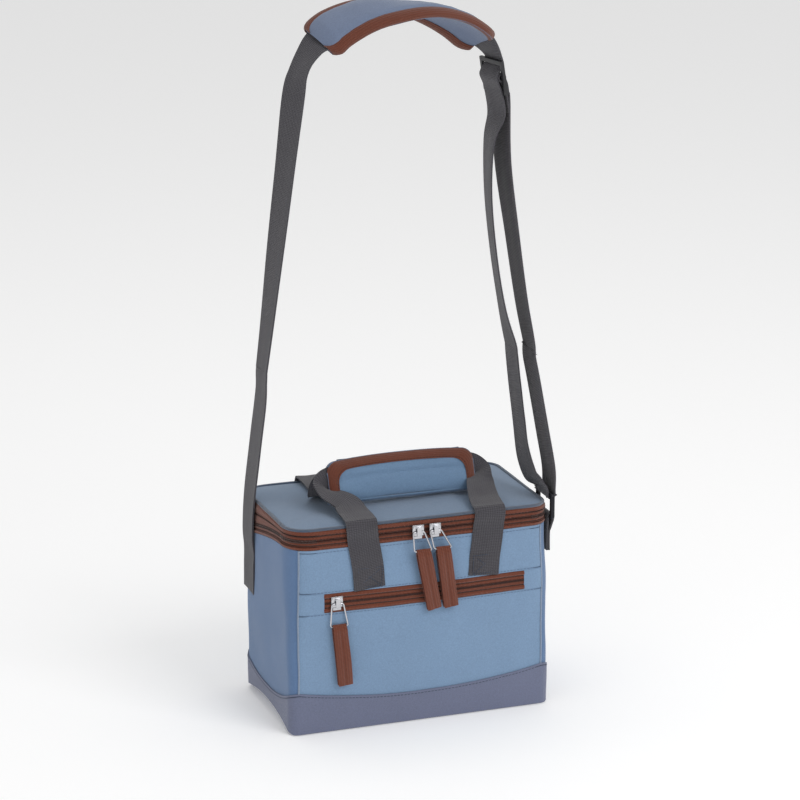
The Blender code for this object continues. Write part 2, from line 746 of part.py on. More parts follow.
# ---------------------------------------------------------------- sliders and pulls
def slider_profile(near, thickness, height):
    """Side view of a slider: a plate, and a hook over the bail that opens downwards."""
    slot = near - thickness - SLIDER_SLOT
    hook = slot - HOOK_THICKNESS
    low, high = height - SLIDER_LENGTH / 2, height + SLIDER_LENGTH / 2
    return [
        (near, low),
        (near, high),
        (near - thickness, high),
        (hook, high - 0.0018),
        (hook, height - 0.0036),
        (slot, height - 0.0036),
        (slot, height + 0.0026),
        (near - thickness, height + 0.0026),
        (near - thickness, low),
    ]


def build_pull(prefix, x, height, thickness, near, reach, bail_lean, tab_lean, slide_parent=None):
    """A slider, the wire bail in its hook, and the folded tab on the bail."""
    slide = pivot(prefix + "_slide", (x, near, height), slide_parent)
    half = SLIDER_WIDTH / 2
    shape = folded_profile(slider_profile(near, thickness, height), (x - half, x + half))
    make_object(prefix + "_slider", shape, silver_metal, (x, near, height), slide)
    hang = (x, near - thickness - SLIDER_SLOT / 2, height - 0.0003)
    swing = pivot(prefix + "_pull_hinge", hang, slide)
    top, bottom = BAIL_TOP_WIDTH / 2, BAIL_BOTTOM_WIDTH / 2
    cut = 0.0012
    flat = [(-top + cut, 0), (top - cut, 0), (top, -cut), (bottom, -BAIL_LENGTH + cut)]
    flat += [(bottom - cut, -BAIL_LENGTH), (-bottom + cut, -BAIL_LENGTH)]
    flat += [(-bottom, -BAIL_LENGTH + cut), (-top, -cut)]
    lean = math.radians(bail_lean)

    def bail_point(along, down):
        over = along - down * math.sin(lean)
        return (x + over, hang[1] + reach * down / BAIL_LENGTH, hang[2] + down * math.cos(lean))

    points = [bail_point(*spot) for spot in flat]
    make_object(prefix + "_bail", loop_tube(points, WIRE_RADIUS, 8), silver_metal, hang, swing)
    centre = bail_point(0, -BAIL_LENGTH)
    turn = math.radians(tab_lean)
    gap_radius = WIRE_RADIUS + GAP + TAB_LAYER / 2
    line = [(gap_radius - 0.0003, -TAB_LENGTH), (gap_radius - 0.0003, -0.006), (gap_radius, -0.003)]
    line += arc((0, 0), gap_radius, 0, 180, 8)
    line += [(-gap_radius, -0.003), (-gap_radius + 0.0003, -0.006), (-gap_radius + 0.0003, -TAB_LENGTH)]

    def tab_world(along, out, down):
        blend = min(max(-down / 0.012, 0), 1)
        angle = turn * blend
        over = along * math.cos(angle) - down * math.sin(turn)
        level = down * math.cos(turn) + along * math.sin(angle)
        return (centre[0] + over, centre[1] + out, centre[2] + level)

    strip = folded_strip(line, TAB_LAYER, (-TAB_WIDTH / 2, TAB_WIDTH / 2), tab_world)
    make_object(prefix + "_tab", strip, brown_tab, hang, swing)


# ---------------------------------------------------------------- shoulder strap
def across_y(run_turn=0.0, width=WEBBING_WIDTH):
    """The strap's width: along Y, turned about the vertical by the given angle."""
    return (-math.sin(run_turn) * width, math.cos(run_turn) * width, 0)


def leg_upper_points(points):
    """Upper strap points with the twist growing from the split up to the glide's height."""
    route = []
    for x, y, z in points:
        share = min(max((z - STRAP_SPLIT) / (GLIDE_Z - STRAP_SPLIT), 0), 1)
        route.append(((x, y, z), across_y(TWIST * share)))
    return route


def build_strap_lower():
    skin = HALF_WIDTH + GAP + STRAP_WEBBING / 2
    out = skin + 0.0006
    top = STRAP_SPLIT - GAP
    end = across_y()
    slanted = (0, WEBBING_WIDTH * 0.97, WEBBING_WIDTH * 0.2)
    route = [((-skin, ANCHOR_Y + 0.001, ANCHOR_BOTTOM), end)]
    route += [((-skin, ANCHOR_Y, (ANCHOR_BOTTOM + ANCHOR_TOP) / 2), end)]
    route += [((-skin, ANCHOR_Y - 0.001, ANCHOR_TOP - 0.008), end)]
    route += [((-out - 0.0012, 0.0455, 0.164), end), ((-out - 0.0015, 0.036, 0.205), slanted)]
    route += [((-out - 0.0010, 0.017, 0.260), slanted)]
    route += [((-out, 0.003, 0.305), end), ((-0.1299, 0, 0.318), end), ((-0.1298, 0, 0.326), end)]
    route += [((-0.1295, 0, top), end)]
    make_object("strap_left_lower", webbing_run(route, STRAP_WEBBING, 5), dark_webbing)

    bar_z = RING_Z + RING_OPENING / 2 + RING_BAR
    turn = RING_BAR + GAP + STRAP_WEBBING / 2
    slant_out = (0, WEBBING_WIDTH * 0.9, WEBBING_WIDTH * -0.42)
    route = [((0.1312, -0.010, top), end), ((0.1313, -0.0105, 0.325), end)]
    route += [((0.1318, -0.020, 0.305), slant_out)]
    route += [((0.1330, -0.040, 0.262), slant_out)]
    route += [((0.1360, -0.0495, 0.228), (0, WEBBING_WIDTH, -WEBBING_WIDTH * 0.1))]
    route += [((RING_X + turn, RING_Y, bar_z + 0.004), end)]
    for step in range(7):
        angle = math.radians(-180 * step / 6)
        route.append(((RING_X + turn * math.cos(angle), RING_Y, bar_z + turn * math.sin(angle)), end))
    inner = 0.1298
    route += [((inner, RING_Y, bar_z + 0.004), end)]
    route += [((inner, -0.0465, 0.219), (0, WEBBING_WIDTH * 0.88, -WEBBING_WIDTH * 0.45))]
    route += [((inner, -0.028, 0.238), (0, WEBBING_WIDTH * 0.68, -WEBBING_WIDTH * 0.72))]
    route += [((inner, -0.008, 0.256), (0, WEBBING_WIDTH * 0.78, -WEBBING_WIDTH * 0.62))]
    route += [((inner, 0.006, 0.282), (0, WEBBING_WIDTH * 0.97, -WEBBING_WIDTH * 0.2))]
    route += [((0.1292, 0.007, 0.306), end)]
    route += [((0.1245, 0.0010, 0.319), end), ((0.1205, 0, 0.3265), end)]
    route += [((0.1180, 0, top), end)]
    make_object("strap_right_lower", webbing_run(route, STRAP_WEBBING, 3), dark_webbing)


def glide_axes():
    """The glide's middle and its directions: across, along the strap, and out from the bag."""
    across = Vector((-math.sin(TWIST), math.cos(TWIST), 0))
    along = Vector((-0.167, 0, 0.986))
    along = (along - across * along.dot(across)).normalized()
    outward = across.cross(along).normalized()
    return Vector((GLIDE_X, 0, GLIDE_Z)), across, along, outward


def glide_route(spots):
    """Strap points given out from the glide's plane and along it."""
    middle, across, along, outward = glide_axes()
    width = tuple(across * WEBBING_WIDTH)
    return [(tuple(middle + outward * out + along * up), width) for out, up in spots]


def glide_turn(start, end, radius, segments):
    """Points round the glide's middle bar, out from its plane and along it."""
    return arc((0, 0), radius, start, end, segments)


def build_strap_upper(parent, pivot_place):
    bottom = STRAP_SPLIT + GAP
    points = [(-0.1295, 0, bottom), (-0.1195, 0, 0.410), (-0.1078, 0, 0.500), (-0.0968, 0, 0.583)]
    route = leg_upper_points(points)
    route += [((-0.0905, 0, 0.610), across_y(TWIST * 0.6)), ((-0.0790, 0, 0.6290), across_y())]
    route += [((-0.0722, 0, 0.6357), across_y())]
    make_object("strap_left_upper", webbing_run(route, STRAP_WEBBING, 3), dark_webbing, pivot_place, parent)

    step = 0.001
    ply = 2.7 * step
    outer_ply = 4.7 * step
    turn = 3.55 * step
    spots = [(outer_ply, -0.024), (outer_ply, -0.014), (4.3 * step, -0.007), (turn + 0.1 * step, -0.0025)]
    spots += glide_turn(0, 248, turn, 8)
    spots += [(1.3 * step, -0.0068), (ply - 0.1 * step, -0.0108), (ply, -0.0135), (ply, -0.034)]
    points = [(0.1312, -0.010, bottom), (0.1306, -0.0095, 0.341), (0.1262, -0.002, 0.378)]
    points += [(0.1170, 0, 0.441), (0.1068, 0, 0.512)]
    route = leg_upper_points(points)
    make_object(
        "strap_right_outer",
        webbing_run(route + glide_route(spots), STRAP_WEBBING, 3),
        dark_webbing,
        pivot_place,
        parent,
    )
    inner = 5.5 * step
    spots = [(-ply, -0.036), (-ply, -0.0135), (-3.9 * step, -0.0068), (-inner, -0.001), (-5.0 * step, 0.0024)]
    spots += [(-2.9 * step, 0.0057), (0.4 * step, 0.0088), (ply, 0.0120), (ply + 0.1 * step, 0.0170)]
    start = [(0.1180, 0, bottom), (0.1158, 0, 0.341), (0.1065, 0, 0.379)]
    start += [(0.0985, 0, 0.430), (0.0955, 0, 0.487), (0.0980, 0, 0.535)]
    route = leg_upper_points(start) + glide_route(spots)
    route += [((0.0915, 0, 0.6195), across_y(TWIST * 0.5)), ((0.0862, 0, 0.6262), across_y())]
    make_object("strap_right_inner", webbing_run(route, STRAP_WEBBING, 3), dark_webbing, pivot_place, parent)

    middle, across, along, outward = glide_axes()
    rows = (-0.016, -0.012, -0.002, 0.002, 0.012, 0.016)
    half = GLIDE_WIDTH / 2
    columns = (-half, -half + GLIDE_SIDE, half - GLIDE_SIDE, half)

    def layer(out):
        base = middle + outward * out
        return [[tuple(base + along * up + across * over) for over in columns] for up in rows]

    thick = GLIDE_THICKNESS / 2
    frame = thick_grid(layer(thick), layer(-thick), lambda row, column: row % 2 == 0 or column != 1)
    make_object("tri_glide", frame, black_plastic, pivot_place, parent, smooth=False)


def pad_line():
    """The shoulder pad's middle line in X and Z, from its left end to its right end."""
    left = [(-0.0712, 0.6368), (-0.0560, 0.6505), (-0.0270, 0.6632), (0.0050, 0.6645)]
    return left + [(0.0350, 0.6590), (0.0630, 0.6450), (0.0858, 0.6268)]


def build_pad(parent, pivot_place):
    line = [tuple(point) for point in smooth_line(pad_line(), 4)]
    half = PAD_WIDTH / 2
    count = len(line)

    def bent(low, high, width_inset, name, finish):
        """A curved slab between two distances out from the pad's middle line."""
        above, below = offset_line(line, high), offset_line(line, low)
        shape = bmesh.new()
        sections = []
        for index in range(count):
            ends = min(index, count - 1 - index)
            wide = half - width_inset - (0.006, 0.002, 0.0005)[ends] if ends < 3 else half - width_inset
            corners = ((-wide, below[index]), (wide, below[index]), (wide, above[index]), (-wide, above[index]))
            sections.append([shape.verts.new((spot[0], y, spot[1])) for y, spot in corners])
        bridge_sections(shape, sections, closed=False)
        make_object(name, shape, finish, pivot_place, parent)

    channel = STRAP_WEBBING / 2 + GAP
    bent(channel, PAD_THICKNESS - PAD_LINING, PAD_BINDING + GAP, "shoulder_pad", blue_canvas)
    bent(-PAD_LINING - channel, -channel, PAD_BINDING + GAP, "pad_lining", slate_canvas)

    def edge_points(outward):
        """The pad's plan outline as places along its line, and across it."""
        wide = half - PAD_BINDING + outward
        places = []
        for index in range(count):
            ends = min(index, count - 1 - index)
            places.append((index, wide - (0.006, 0.002, 0.0005)[ends] if ends < 3 else wide))
        return places

    low, high = -PAD_LINING - channel, PAD_THICKNESS - PAD_LINING
    above, below = offset_line(line, high), offset_line(line, low)
    for side, name in ((-1, "pad_binding_front"), (1, "pad_binding_back")):
        shape = bmesh.new()
        sections = []
        for (index, inner), (_, outer) in zip(edge_points(0), edge_points(PAD_BINDING)):
            corners = ((inner, below[index]), (outer, below[index]), (outer, above[index]), (inner, above[index]))
            sections.append([shape.verts.new((spot[0], side * y, spot[1])) for y, spot in corners])
        bridge_sections(shape, sections, closed=False)
        make_object(name, shape, dark_piping, pivot_place, parent)


def build_ring():
    """The ring that the strap runs through, and the tab that holds it to the side."""
    half_y = RING_INSIDE / 2 + RING_BAR
    half_z = RING_OPENING / 2 + RING_BAR
    cut = 0.0014
    flat = [(-half_y + cut, -half_z), (half_y - cut, -half_z), (half_y, -half_z + cut), (half_y, half_z - cut)]
    flat += [(half_y - cut, half_z), (-half_y + cut, half_z), (-half_y, half_z - cut), (-half_y, -half_z + cut)]
    points = [(RING_X, RING_Y + y, RING_Z + z) for y, z in flat]
    make_object("strap_ring", loop_tube(points, RING_BAR, 10), black_steel)
    skin = HALF_WIDTH + GAP + STRAP_WEBBING / 2
    second = skin + STRAP_WEBBING + GAP
    bar_z = RING_Z - half_z
    turn = RING_BAR + GAP + STRAP_WEBBING / 2
    line = [(skin, TAB_BOTTOM), (skin, bar_z - 0.013), (skin + 0.0006, bar_z - 0.004)]
    line += [(RING_X + a, bar_z + b) for a, b in arc((0, 0), turn, 175, 0, 9)]
    line += [(RING_X + turn - 0.0003, bar_z - 0.003), (second + 0.0010, bar_z - 0.011), (second, bar_z - 0.015)]
    line += [(second, TAB_BOTTOM)]
    across = (RING_Y - WEBBING_WIDTH / 2, RING_Y + WEBBING_WIDTH / 2)
    strip = folded_strip(line, STRAP_WEBBING, across, lambda along, x, z: (x, along, z))
    make_object("ring_tab", strip, dark_webbing)


def build_all():
    build_base()
    build_band()
    build_gusset(-1, "gusset_left")
    build_gusset(1, "gusset_right")
    build_front()
    build_back()
    build_insulation()
    build_zip_lower()
    build_lid()
    front_place = (0, -HALF_DEPTH - 0.0025, 0.158)
    front = pivot("front_handle_pivot", front_place)
    build_handle("front_handle_webbing", -1, front, front_place)
    build_grip(front, front_place)
    back_place = (0, HALF_DEPTH + 0.0025, 0.158)
    back = pivot("back_handle_pivot", back_place)
    build_handle("back_handle_webbing", 1, back, back_place)
    near = -HALF_DEPTH - GAP - COIL_PROUD - GAP
    build_pull("main_left", SLIDER_LEFT_X, SPLIT_HEIGHT, SLIDER_THICKNESS, near, BAIL_REACH, 11, 11)
    build_pull("main_right", SLIDER_RIGHT_X, SPLIT_HEIGHT, SLIDER_THICKNESS, near, BAIL_REACH, 20, 8)
    pocket_z = POCKET_TOP + POCKET_ZIP_HEIGHT / 2
    build_pull("pocket", POCKET_SLIDER_X, pocket_z, POCKET_SLIDER_THICKNESS, near, 0.0, 4, 5.5)
    build_strap_lower()
    strap_place = (0, 0, 0.185)
    strap = pivot("strap_pivot", strap_place)
    build_strap_upper(strap, strap_place)
    build_pad(strap, strap_place)
    build_ring()


build_all()
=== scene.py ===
import math

import bmesh
import bpy
import numpy as np
from mathutils import Matrix, Vector, noise


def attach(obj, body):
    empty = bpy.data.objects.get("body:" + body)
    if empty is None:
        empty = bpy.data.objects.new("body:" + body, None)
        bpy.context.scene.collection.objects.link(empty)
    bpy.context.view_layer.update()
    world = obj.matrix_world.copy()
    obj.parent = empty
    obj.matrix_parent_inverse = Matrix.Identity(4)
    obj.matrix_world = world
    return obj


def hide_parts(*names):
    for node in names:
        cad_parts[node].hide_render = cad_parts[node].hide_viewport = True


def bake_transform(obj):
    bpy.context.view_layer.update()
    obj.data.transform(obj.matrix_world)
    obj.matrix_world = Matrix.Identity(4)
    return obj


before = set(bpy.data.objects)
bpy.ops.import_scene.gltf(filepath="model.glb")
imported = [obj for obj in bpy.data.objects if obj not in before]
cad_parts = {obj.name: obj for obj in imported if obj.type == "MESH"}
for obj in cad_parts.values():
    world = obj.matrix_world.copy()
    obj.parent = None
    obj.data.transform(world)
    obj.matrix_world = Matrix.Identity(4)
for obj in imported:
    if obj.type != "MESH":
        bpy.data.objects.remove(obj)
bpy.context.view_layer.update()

# ---------------------------------------------------------------- materials
# Every surface is procedural. Woven cloth reads its threads from each piece's own UV map, laid out
# in metres along the cloth, and its slow colour changes from object coordinates.


def linear(colour):
    """sRGB 0 to 255 to linear 0 to 1."""
    return [((c / 255 + 0.055) / 1.055) ** 2.4 if c > 10 else c / 255 / 12.92 for c in colour]


def shader_of(name, roughness, metallic=0.0):
    material = bpy.data.materials.new(name)
    material.use_nodes = True
    nodes, links = material.node_tree.nodes, material.node_tree.links
    shader = nodes["Principled BSDF"]
    shader.inputs["Roughness"].default_value = roughness
    shader.inputs["Metallic"].default_value = metallic
    return material, nodes, links, shader


def add_math(nodes, links, operation, one, other=None):
    node = nodes.new("ShaderNodeMath")
    node.operation = operation
    for socket, value in zip(node.inputs, (one, other)):
        if value is None:
            continue
        if isinstance(value, (int, float)):
            socket.default_value = value
        else:
            links.new(value, socket)
    return node.outputs[0]


def add_noise(nodes, links, scale, detail, roughness=0.55):
    place = nodes.new("ShaderNodeTexCoord")
    node = nodes.new("ShaderNodeTexNoise")
    node.inputs["Scale"].default_value = scale
    node.inputs["Detail"].default_value = detail
    node.inputs["Roughness"].default_value = roughness
    links.new(place.outputs["Object"], node.inputs["Vector"])
    return node.outputs["Fac"]


def tinted(nodes, links, shader, colour, amounts):
    """Drives the base colour: the colour times one plus each source's swing about its middle."""
    total = None
    for source, swing in amounts:
        centred = add_math(nodes, links, "MULTIPLY", add_math(nodes, links, "SUBTRACT", source, 0.5), swing)
        total = centred if total is None else add_math(nodes, links, "ADD", total, centred)
    gain = add_math(nodes, links, "ADD", total, 1.0)
    scale = nodes.new("ShaderNodeVectorMath")
    scale.operation = "SCALE"
    scale.inputs[0].default_value = colour
    links.new(gain, scale.inputs["Scale"])
    links.new(scale.outputs["Vector"], shader.inputs["Base Color"])


def bumped(nodes, links, shader, height, distance, strength):
    bump = nodes.new("ShaderNodeBump")
    bump.inputs["Distance"].default_value = distance
    bump.inputs["Strength"].default_value = strength
    links.new(height, bump.inputs["Height"])
    links.new(bump.outputs["Normal"], shader.inputs["Normal"])


def woven(name, colour, pitch=0.0008, ribs=None, swing=0.16, sheen=0.25, roughness=0.86):
    """Cloth with crossing threads, or with ribs across its length where ribs gives their pitch."""
    material, nodes, links, shader = shader_of(name, roughness)
    shader.inputs["Sheen Weight"].default_value = sheen
    shader.inputs["Sheen Roughness"].default_value = 0.5
    flat = nodes.new("ShaderNodeUVMap")
    flat.uv_map = "Cloth"
    split = nodes.new("ShaderNodeSeparateXYZ")
    links.new(flat.outputs["UV"], split.inputs["Vector"])
    turn = 2 * math.pi
    along = add_math(nodes, links, "MULTIPLY", split.outputs["X"], turn / (ribs or pitch))
    across = add_math(nodes, links, "MULTIPLY", split.outputs["Y"], turn / (0.0021 if ribs else pitch))
    first = add_math(nodes, links, "SINE", along)
    second = add_math(nodes, links, "SINE", across)
    if ribs:
        weave = add_math(nodes, links, "ADD", first, add_math(nodes, links, "MULTIPLY", second, 0.6))
    else:
        weave = add_math(nodes, links, "MULTIPLY", first, second)
    height = add_math(nodes, links, "MULTIPLY_ADD", weave, 0.5)
    height.node.inputs[2].default_value = 0.5
    slow = add_noise(nodes, links, 14, 3)
    speck = add_noise(nodes, links, 700, 2, 0.7)
    # Besides the bump, the weave height darkens the colour in the hollows between threads: painted shade on
    # top of the threads' own pattern.
    sources = ((slow, swing), (speck, 0.42), (height, 0.34 if ribs else 0.16))
    tinted(nodes, links, shader, linear(colour), sources)
    wear = add_noise(nodes, links, 40, 4)
    rough = add_math(nodes, links, "MULTIPLY_ADD", wear, 0.16)
    rough.node.inputs[2].default_value = roughness - 0.08
    links.new(rough, shader.inputs["Roughness"])
    bumped(nodes, links, shader, height, 0.0005 if ribs else 0.0002, 0.8 if ribs else 0.55)
    return material


def smooth_solid(name, colour, roughness, metallic, swing, grain, depth):
    """Metal, plastic, foil or foam: slow colour and roughness change, and a fine grain."""
    material, nodes, links, shader = shader_of(name, roughness, metallic)
    slow = add_noise(nodes, links, 30, 3)
    fine = add_noise(nodes, links, grain, 4)
    tinted(nodes, links, shader, linear(colour), ((slow, swing), (fine, swing)))
    rough = add_math(nodes, links, "MULTIPLY_ADD", fine, roughness * 0.6)
    rough.node.inputs[2].default_value = roughness * 0.7
    links.new(rough, shader.inputs["Roughness"])
    bumped(nodes, links, shader, fine, depth, 0.4)
    return material


blue_cloth = woven("blue_cloth", (118, 145, 175))
# The side cloth is the front's blue canvas made darker: painted shade for the walls that face away from the
# light.
side_cloth_painted_shade = woven("side_cloth_painted_shade", (88, 116, 154))
lid_cloth = woven("lid_cloth", (110, 130, 154))
slate_cloth = woven("slate_cloth", (104, 110, 134))
grip_cloth = woven("grip_cloth", (102, 130, 160))
pad_cloth = woven("pad_cloth", (104, 117, 142))
lining_cloth = woven("lining_cloth", (70, 76, 92))
zip_cloth = woven("zip_cloth", (108, 48, 22), ribs=0.0013, swing=0.2)
binding_cloth = woven("binding_cloth", (104, 48, 25), ribs=0.0010, swing=0.2)
tab_cloth = woven("tab_cloth", (108, 50, 27), ribs=0.0012, swing=0.22)
webbing_cloth = woven("webbing_cloth", (62, 60, 66), ribs=0.0015, swing=0.14)
piping_cloth = woven("piping_cloth", (62, 80, 104), ribs=0.0010, sheen=0.5)
# The seam cloth is the blue canvas made paler: painted highlight for the light along the raised front seams.
seam_cloth_painted_highlight = woven("seam_cloth_painted_highlight", (142, 158, 180), ribs=0.0010)
thread_dark = smooth_solid("thread_dark", (52, 62, 80), 0.7, 0, 0.2, 900, 0.0001)
thread_blue = smooth_solid("thread_blue", (92, 112, 140), 0.7, 0, 0.2, 900, 0.0001)
thread_brown = smooth_solid("thread_brown", (58, 30, 22), 0.7, 0, 0.2, 900, 0.0001)
coil_nylon = smooth_solid("coil_nylon", (56, 28, 20), 0.42, 0, 0.2, 500, 0.00005)
bright_metal = smooth_solid("bright_metal", (196, 196, 200), 0.2, 1, 0.06, 260, 0.00003)
dark_plastic = smooth_solid("dark_plastic", (34, 34, 37), 0.42, 0, 0.12, 600, 0.00005)
dark_metal = smooth_solid("dark_metal", (46, 46, 50), 0.36, 0.9, 0.1, 400, 0.00003)
foam_surface = smooth_solid("foam_surface", (222, 223, 224), 0.9, 0, 0.05, 500, 0.0004)
foil_surface = smooth_solid("foil_surface", (208, 211, 214), 0.3, 0.85, 0.08, 90, 0.0022)
fastener = smooth_solid("fastener", (40, 40, 44), 0.95, 0, 0.3, 1500, 0.0006)

# ---------------------------------------------------------------- walls of cloth
# Front, sides and back are canvas panels sewn together at the corners, with a slate band round the
# foot. The walls swell where the pocket and the foam fill them, and they crease near the seams.
# A panel is a grid of points on its outer face, thickened inwards.

half_wide, half_deep = 0.128, 0.073
canvas_thick = 0.001


def cloth(name, grid, thickness, surface, nodes=(), closed=False):
    """A thick sheet through a grid of points, first index along the cloth and second across it."""
    grid = np.asarray(grid, float)
    count, across = grid.shape[:2]
    ahead = np.roll(grid, -1, 0) - np.roll(grid, 1, 0) if closed else np.gradient(grid, axis=0)
    normal = np.cross(ahead, np.gradient(grid, axis=1))
    normal /= np.maximum(np.linalg.norm(normal, axis=2, keepdims=True), 1e-12)
    points = np.concatenate([grid.reshape(-1, 3), (grid - normal * thickness).reshape(-1, 3)])
    total = count * across
    rows = count if closed else count - 1
    index = np.arange(total).reshape(count, across)
    near, after = index[:rows], np.roll(index, -1, 0)[:rows]
    front = np.stack([near[:, :-1], after[:, :-1], after[:, 1:], near[:, 1:]], -1).reshape(-1, 4)
    faces = [front, front[:, ::-1] + total]
    for edge in (0, across - 1):
        one, two = near[:, edge], after[:, edge]
        faces.append(np.stack([one, two, two + total, one + total], -1))
    if not closed:
        for row in (0, count - 1):
            line = index[row]
            faces.append(np.stack([line[:-1], line[1:], line[1:] + total, line[:-1] + total], -1))
    mesh = bpy.data.meshes.new(name)
    mesh.from_pydata(points.tolist(), [], np.concatenate(faces).tolist())
    step = np.linalg.norm(np.diff(grid, axis=0), axis=2).mean(1)
    width = np.linalg.norm(np.diff(grid, axis=1), axis=2).mean(0)
    along = np.concatenate([[0], np.cumsum(step)])
    over = np.concatenate([[0], np.cumsum(width)])
    flat = np.stack(np.meshgrid(along, over, indexing="ij"), -1).reshape(-1, 2)
    flat = np.concatenate([flat, flat])
    corners = np.zeros(len(mesh.loops), np.int32)
    mesh.loops.foreach_get("vertex_index", corners)
    mesh.uv_layers.new(name="Cloth").data.foreach_set("uv", flat[corners].ravel().astype(np.float32))
    work = bmesh.new()
    work.from_mesh(mesh)
    bmesh.ops.recalc_face_normals(work, faces=work.faces)
    work.to_mesh(mesh)
    work.free()
    mesh.shade_smooth()
    mesh.set_sharp_from_angle(angle=math.radians(50))
    mesh.materials.append(surface)
    made = bpy.data.objects.new(name, mesh)
    bpy.context.scene.collection.objects.link(made)
    if nodes:
        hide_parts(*nodes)
    return made


def ease(value, low, high):
    part = min(max((value - low) / (high - low), 0.0), 1.0)
    return part * part * (3 - 2 * part)


def front_swell(x, z):
    """How far the front stands out in front of its seams."""
    wide = max(1 - (x / 0.121) ** 2, 0) ** 0.7
    pocket = ease(z, 0.0, 0.075) * (1 - 0.42 * ease(z, 0.085, 0.150)) * (1 - 0.75 * ease(z, 0.150, 0.188))
    return 0.0062 * wide * pocket


def wall_offset(x, y, nx, ny, z, creases=1.0):
    """Outward move of a wall's face at a plan point with outward normal nx, ny."""
    front = max(-ny, 0) ** 2 * front_swell(x, z)
    middle = max(1 - (y / 0.075) ** 2, 0)
    side = nx * nx * (0.0004 if nx < 0 else 0.0010) * middle * ease(z, 0.02, 0.09)
    side *= 1 - ease(z, 0.12, 0.17)
    back = max(ny, 0) ** 2 * 0.003 * max(1 - (x / 0.12) ** 2, 0) * ease(z, 0, 0.07)
    back *= 1 - ease(z, 0.1, 0.16)
    broad = noise.noise((x * 16 + 3, y * 16, z * 20)) * 0.0011
    fold = noise.noise((x * 45, y * 45 + 9, z * 26)) * 0.00055
    near_zip = noise.noise((x * 90, y * 90, z * 12 + 4)) * 0.0005 * ease(z, 0.145, 0.178)
    near_zip *= 1 - ease(z, 0.178, 0.186)
    free = ease(z, 0.0, 0.03) * (1 - ease(z, 0.172, 0.186))
    total = front + side + back + creases * (free * (broad + fold + 0.0004) + near_zip)
    return total if total > 0 else total * 0.2


def top_radius(x):
    """The front corners' radius under the lid, where the bag is softest."""
    return 0.024 if x < 0 else 0.017


def wall_point(x, y, nx, ny, z, outward=0.0, creases=1.0):
    """A plan point at a height: moved outward, and drawn in where the front corners grow rounder."""
    move = outward + wall_offset(x, y, nx, ny, z, creases)
    radius = 0.0080 + (top_radius(x) - 0.0080) * ease(z, 0.05, 0.185)
    across, deep = half_wide - radius, radius - half_deep
    if y < deep and abs(x) > across:
        size = math.hypot(abs(x) - across, y - deep)
        nx, ny = math.copysign((abs(x) - across) / size, x), (y - deep) / size
        x, y = math.copysign(across, x) + nx * radius, deep + ny * radius
    return x + nx * move, y + ny * move, z, nx, ny, 0


def plan(part):
    """Points of the plan with their outward normals: a wall's, all of them, the zip's or the rear's."""
    spots = []

    def straight(start, end, normal, step):
        length = math.dist(start, end)
        count = max(int(length / step), 1)
        for i in range(count):
            share = i / count
            x = start[0] + (end[0] - start[0]) * share
            y = start[1] + (end[1] - start[1]) * share
            spots.append((x, y, *normal))

    def turn(cx, cy, radius, start):
        for i in range(9):
            angle = math.radians(start + 90 * i / 9)
            nx, ny = math.cos(angle), math.sin(angle)
            spots.append((cx + nx * radius, cy + ny * radius, nx, ny))

    front, back = 0.0078, 0.020
    corner_left = (-half_wide + front, -half_deep + front)
    corner_right = (half_wide - front, -half_deep + front)
    back_right = (half_wide - back, half_deep - back)
    back_left = (-half_wide + back, half_deep - back)
    straight((-half_wide, back_left[1]), (-half_wide, corner_left[1]), (-1, 0), 0.0035)
    turn(*corner_left, front, 180)
    straight((corner_left[0], -half_deep), (corner_right[0], -half_deep), (0, -1), 0.0035)
    turn(*corner_right, front, 270)
    straight((half_wide, corner_right[1]), (half_wide, back_right[1]), (1, 0), 0.0035)
    turn(*back_right, back, 0)
    straight((back_right[0], half_deep), (back_left[0], half_deep), (0, 1), 0.0035)
    turn(*back_left, back, 90)
    if part == "front":
        return [(x, -half_deep, 0, -1) for x in np.linspace(-0.1206, 0.1206, 71)]
    if part == "back":
        return [(x, half_deep, 0, 1) for x in np.linspace(0.1062, -0.1062, 60)]
    keep = {
        "all": lambda s: True,
        "left": lambda s: s[0] < -0.1195 or (s[0] < -0.1040 and s[1] > 0),
        "right": lambda s: s[0] > 0.1195 or (s[0] > 0.1040 and s[1] > 0),
        "zip": lambda s: s[1] <= 0.0502,
        "rear": lambda s: s[1] >= 0.0495,
    }[part]
    order = spots
    if part == "left":
        order = [s for s in spots if s[1] >= 0 or s[0] < 0]
        cut = next(i for i, s in enumerate(spots) if s[0] < -0.1040 and s[1] > 0.072)
        order = spots[cut:] + spots[:cut]
    if part == "rear":
        cut = next(i for i, s in enumerate(spots) if s[0] > 0.12 and s[1] >= 0.0495)
        order = spots[cut:] + spots[:cut]
    kept = [s for s in order if keep(s)]
    if part == "zip":
        kept = [(-half_wide, 0.0505, -1, 0), *kept, (half_wide, 0.0505, 1, 0)]
    return kept


def wall_grid(part, outward, low, high, rows, creases=1.0, profile=None):
    """Grid of a wall between two heights, which are numbers or functions of a plan point."""
    grid = []
    for x, y, nx, ny in plan(part):
        bottom = low(x, y) if callable(low) else low
        top = high(x, y) if callable(high) else high
        line = []
        for row in range(rows + 1):
            z = bottom + (top - bottom) * row / rows
            more = profile(row / rows) if profile else 0
            line.append(wall_point(x, y, nx, ny, z, outward + more, creases)[:3])
        grid.append(line)
    return grid


def zip_height(y):
    """Middle of the main zip: level in front, dipping towards the back."""
    if y < -0.045:
        return 0.1875
    return 0.1875 - 0.0175 * ((y + 0.045) / 0.095) ** 1.35


def hem(x, y):
    """Lower edge of the side walls, which lifts off the floor between the corners."""
    side = ease(abs(x), 0.100, 0.127)
    return 0.0006 + (0.0125 if x < 0 else 0.007) * side * max(1 - (y / 0.071) ** 2, 0) ** 0.8


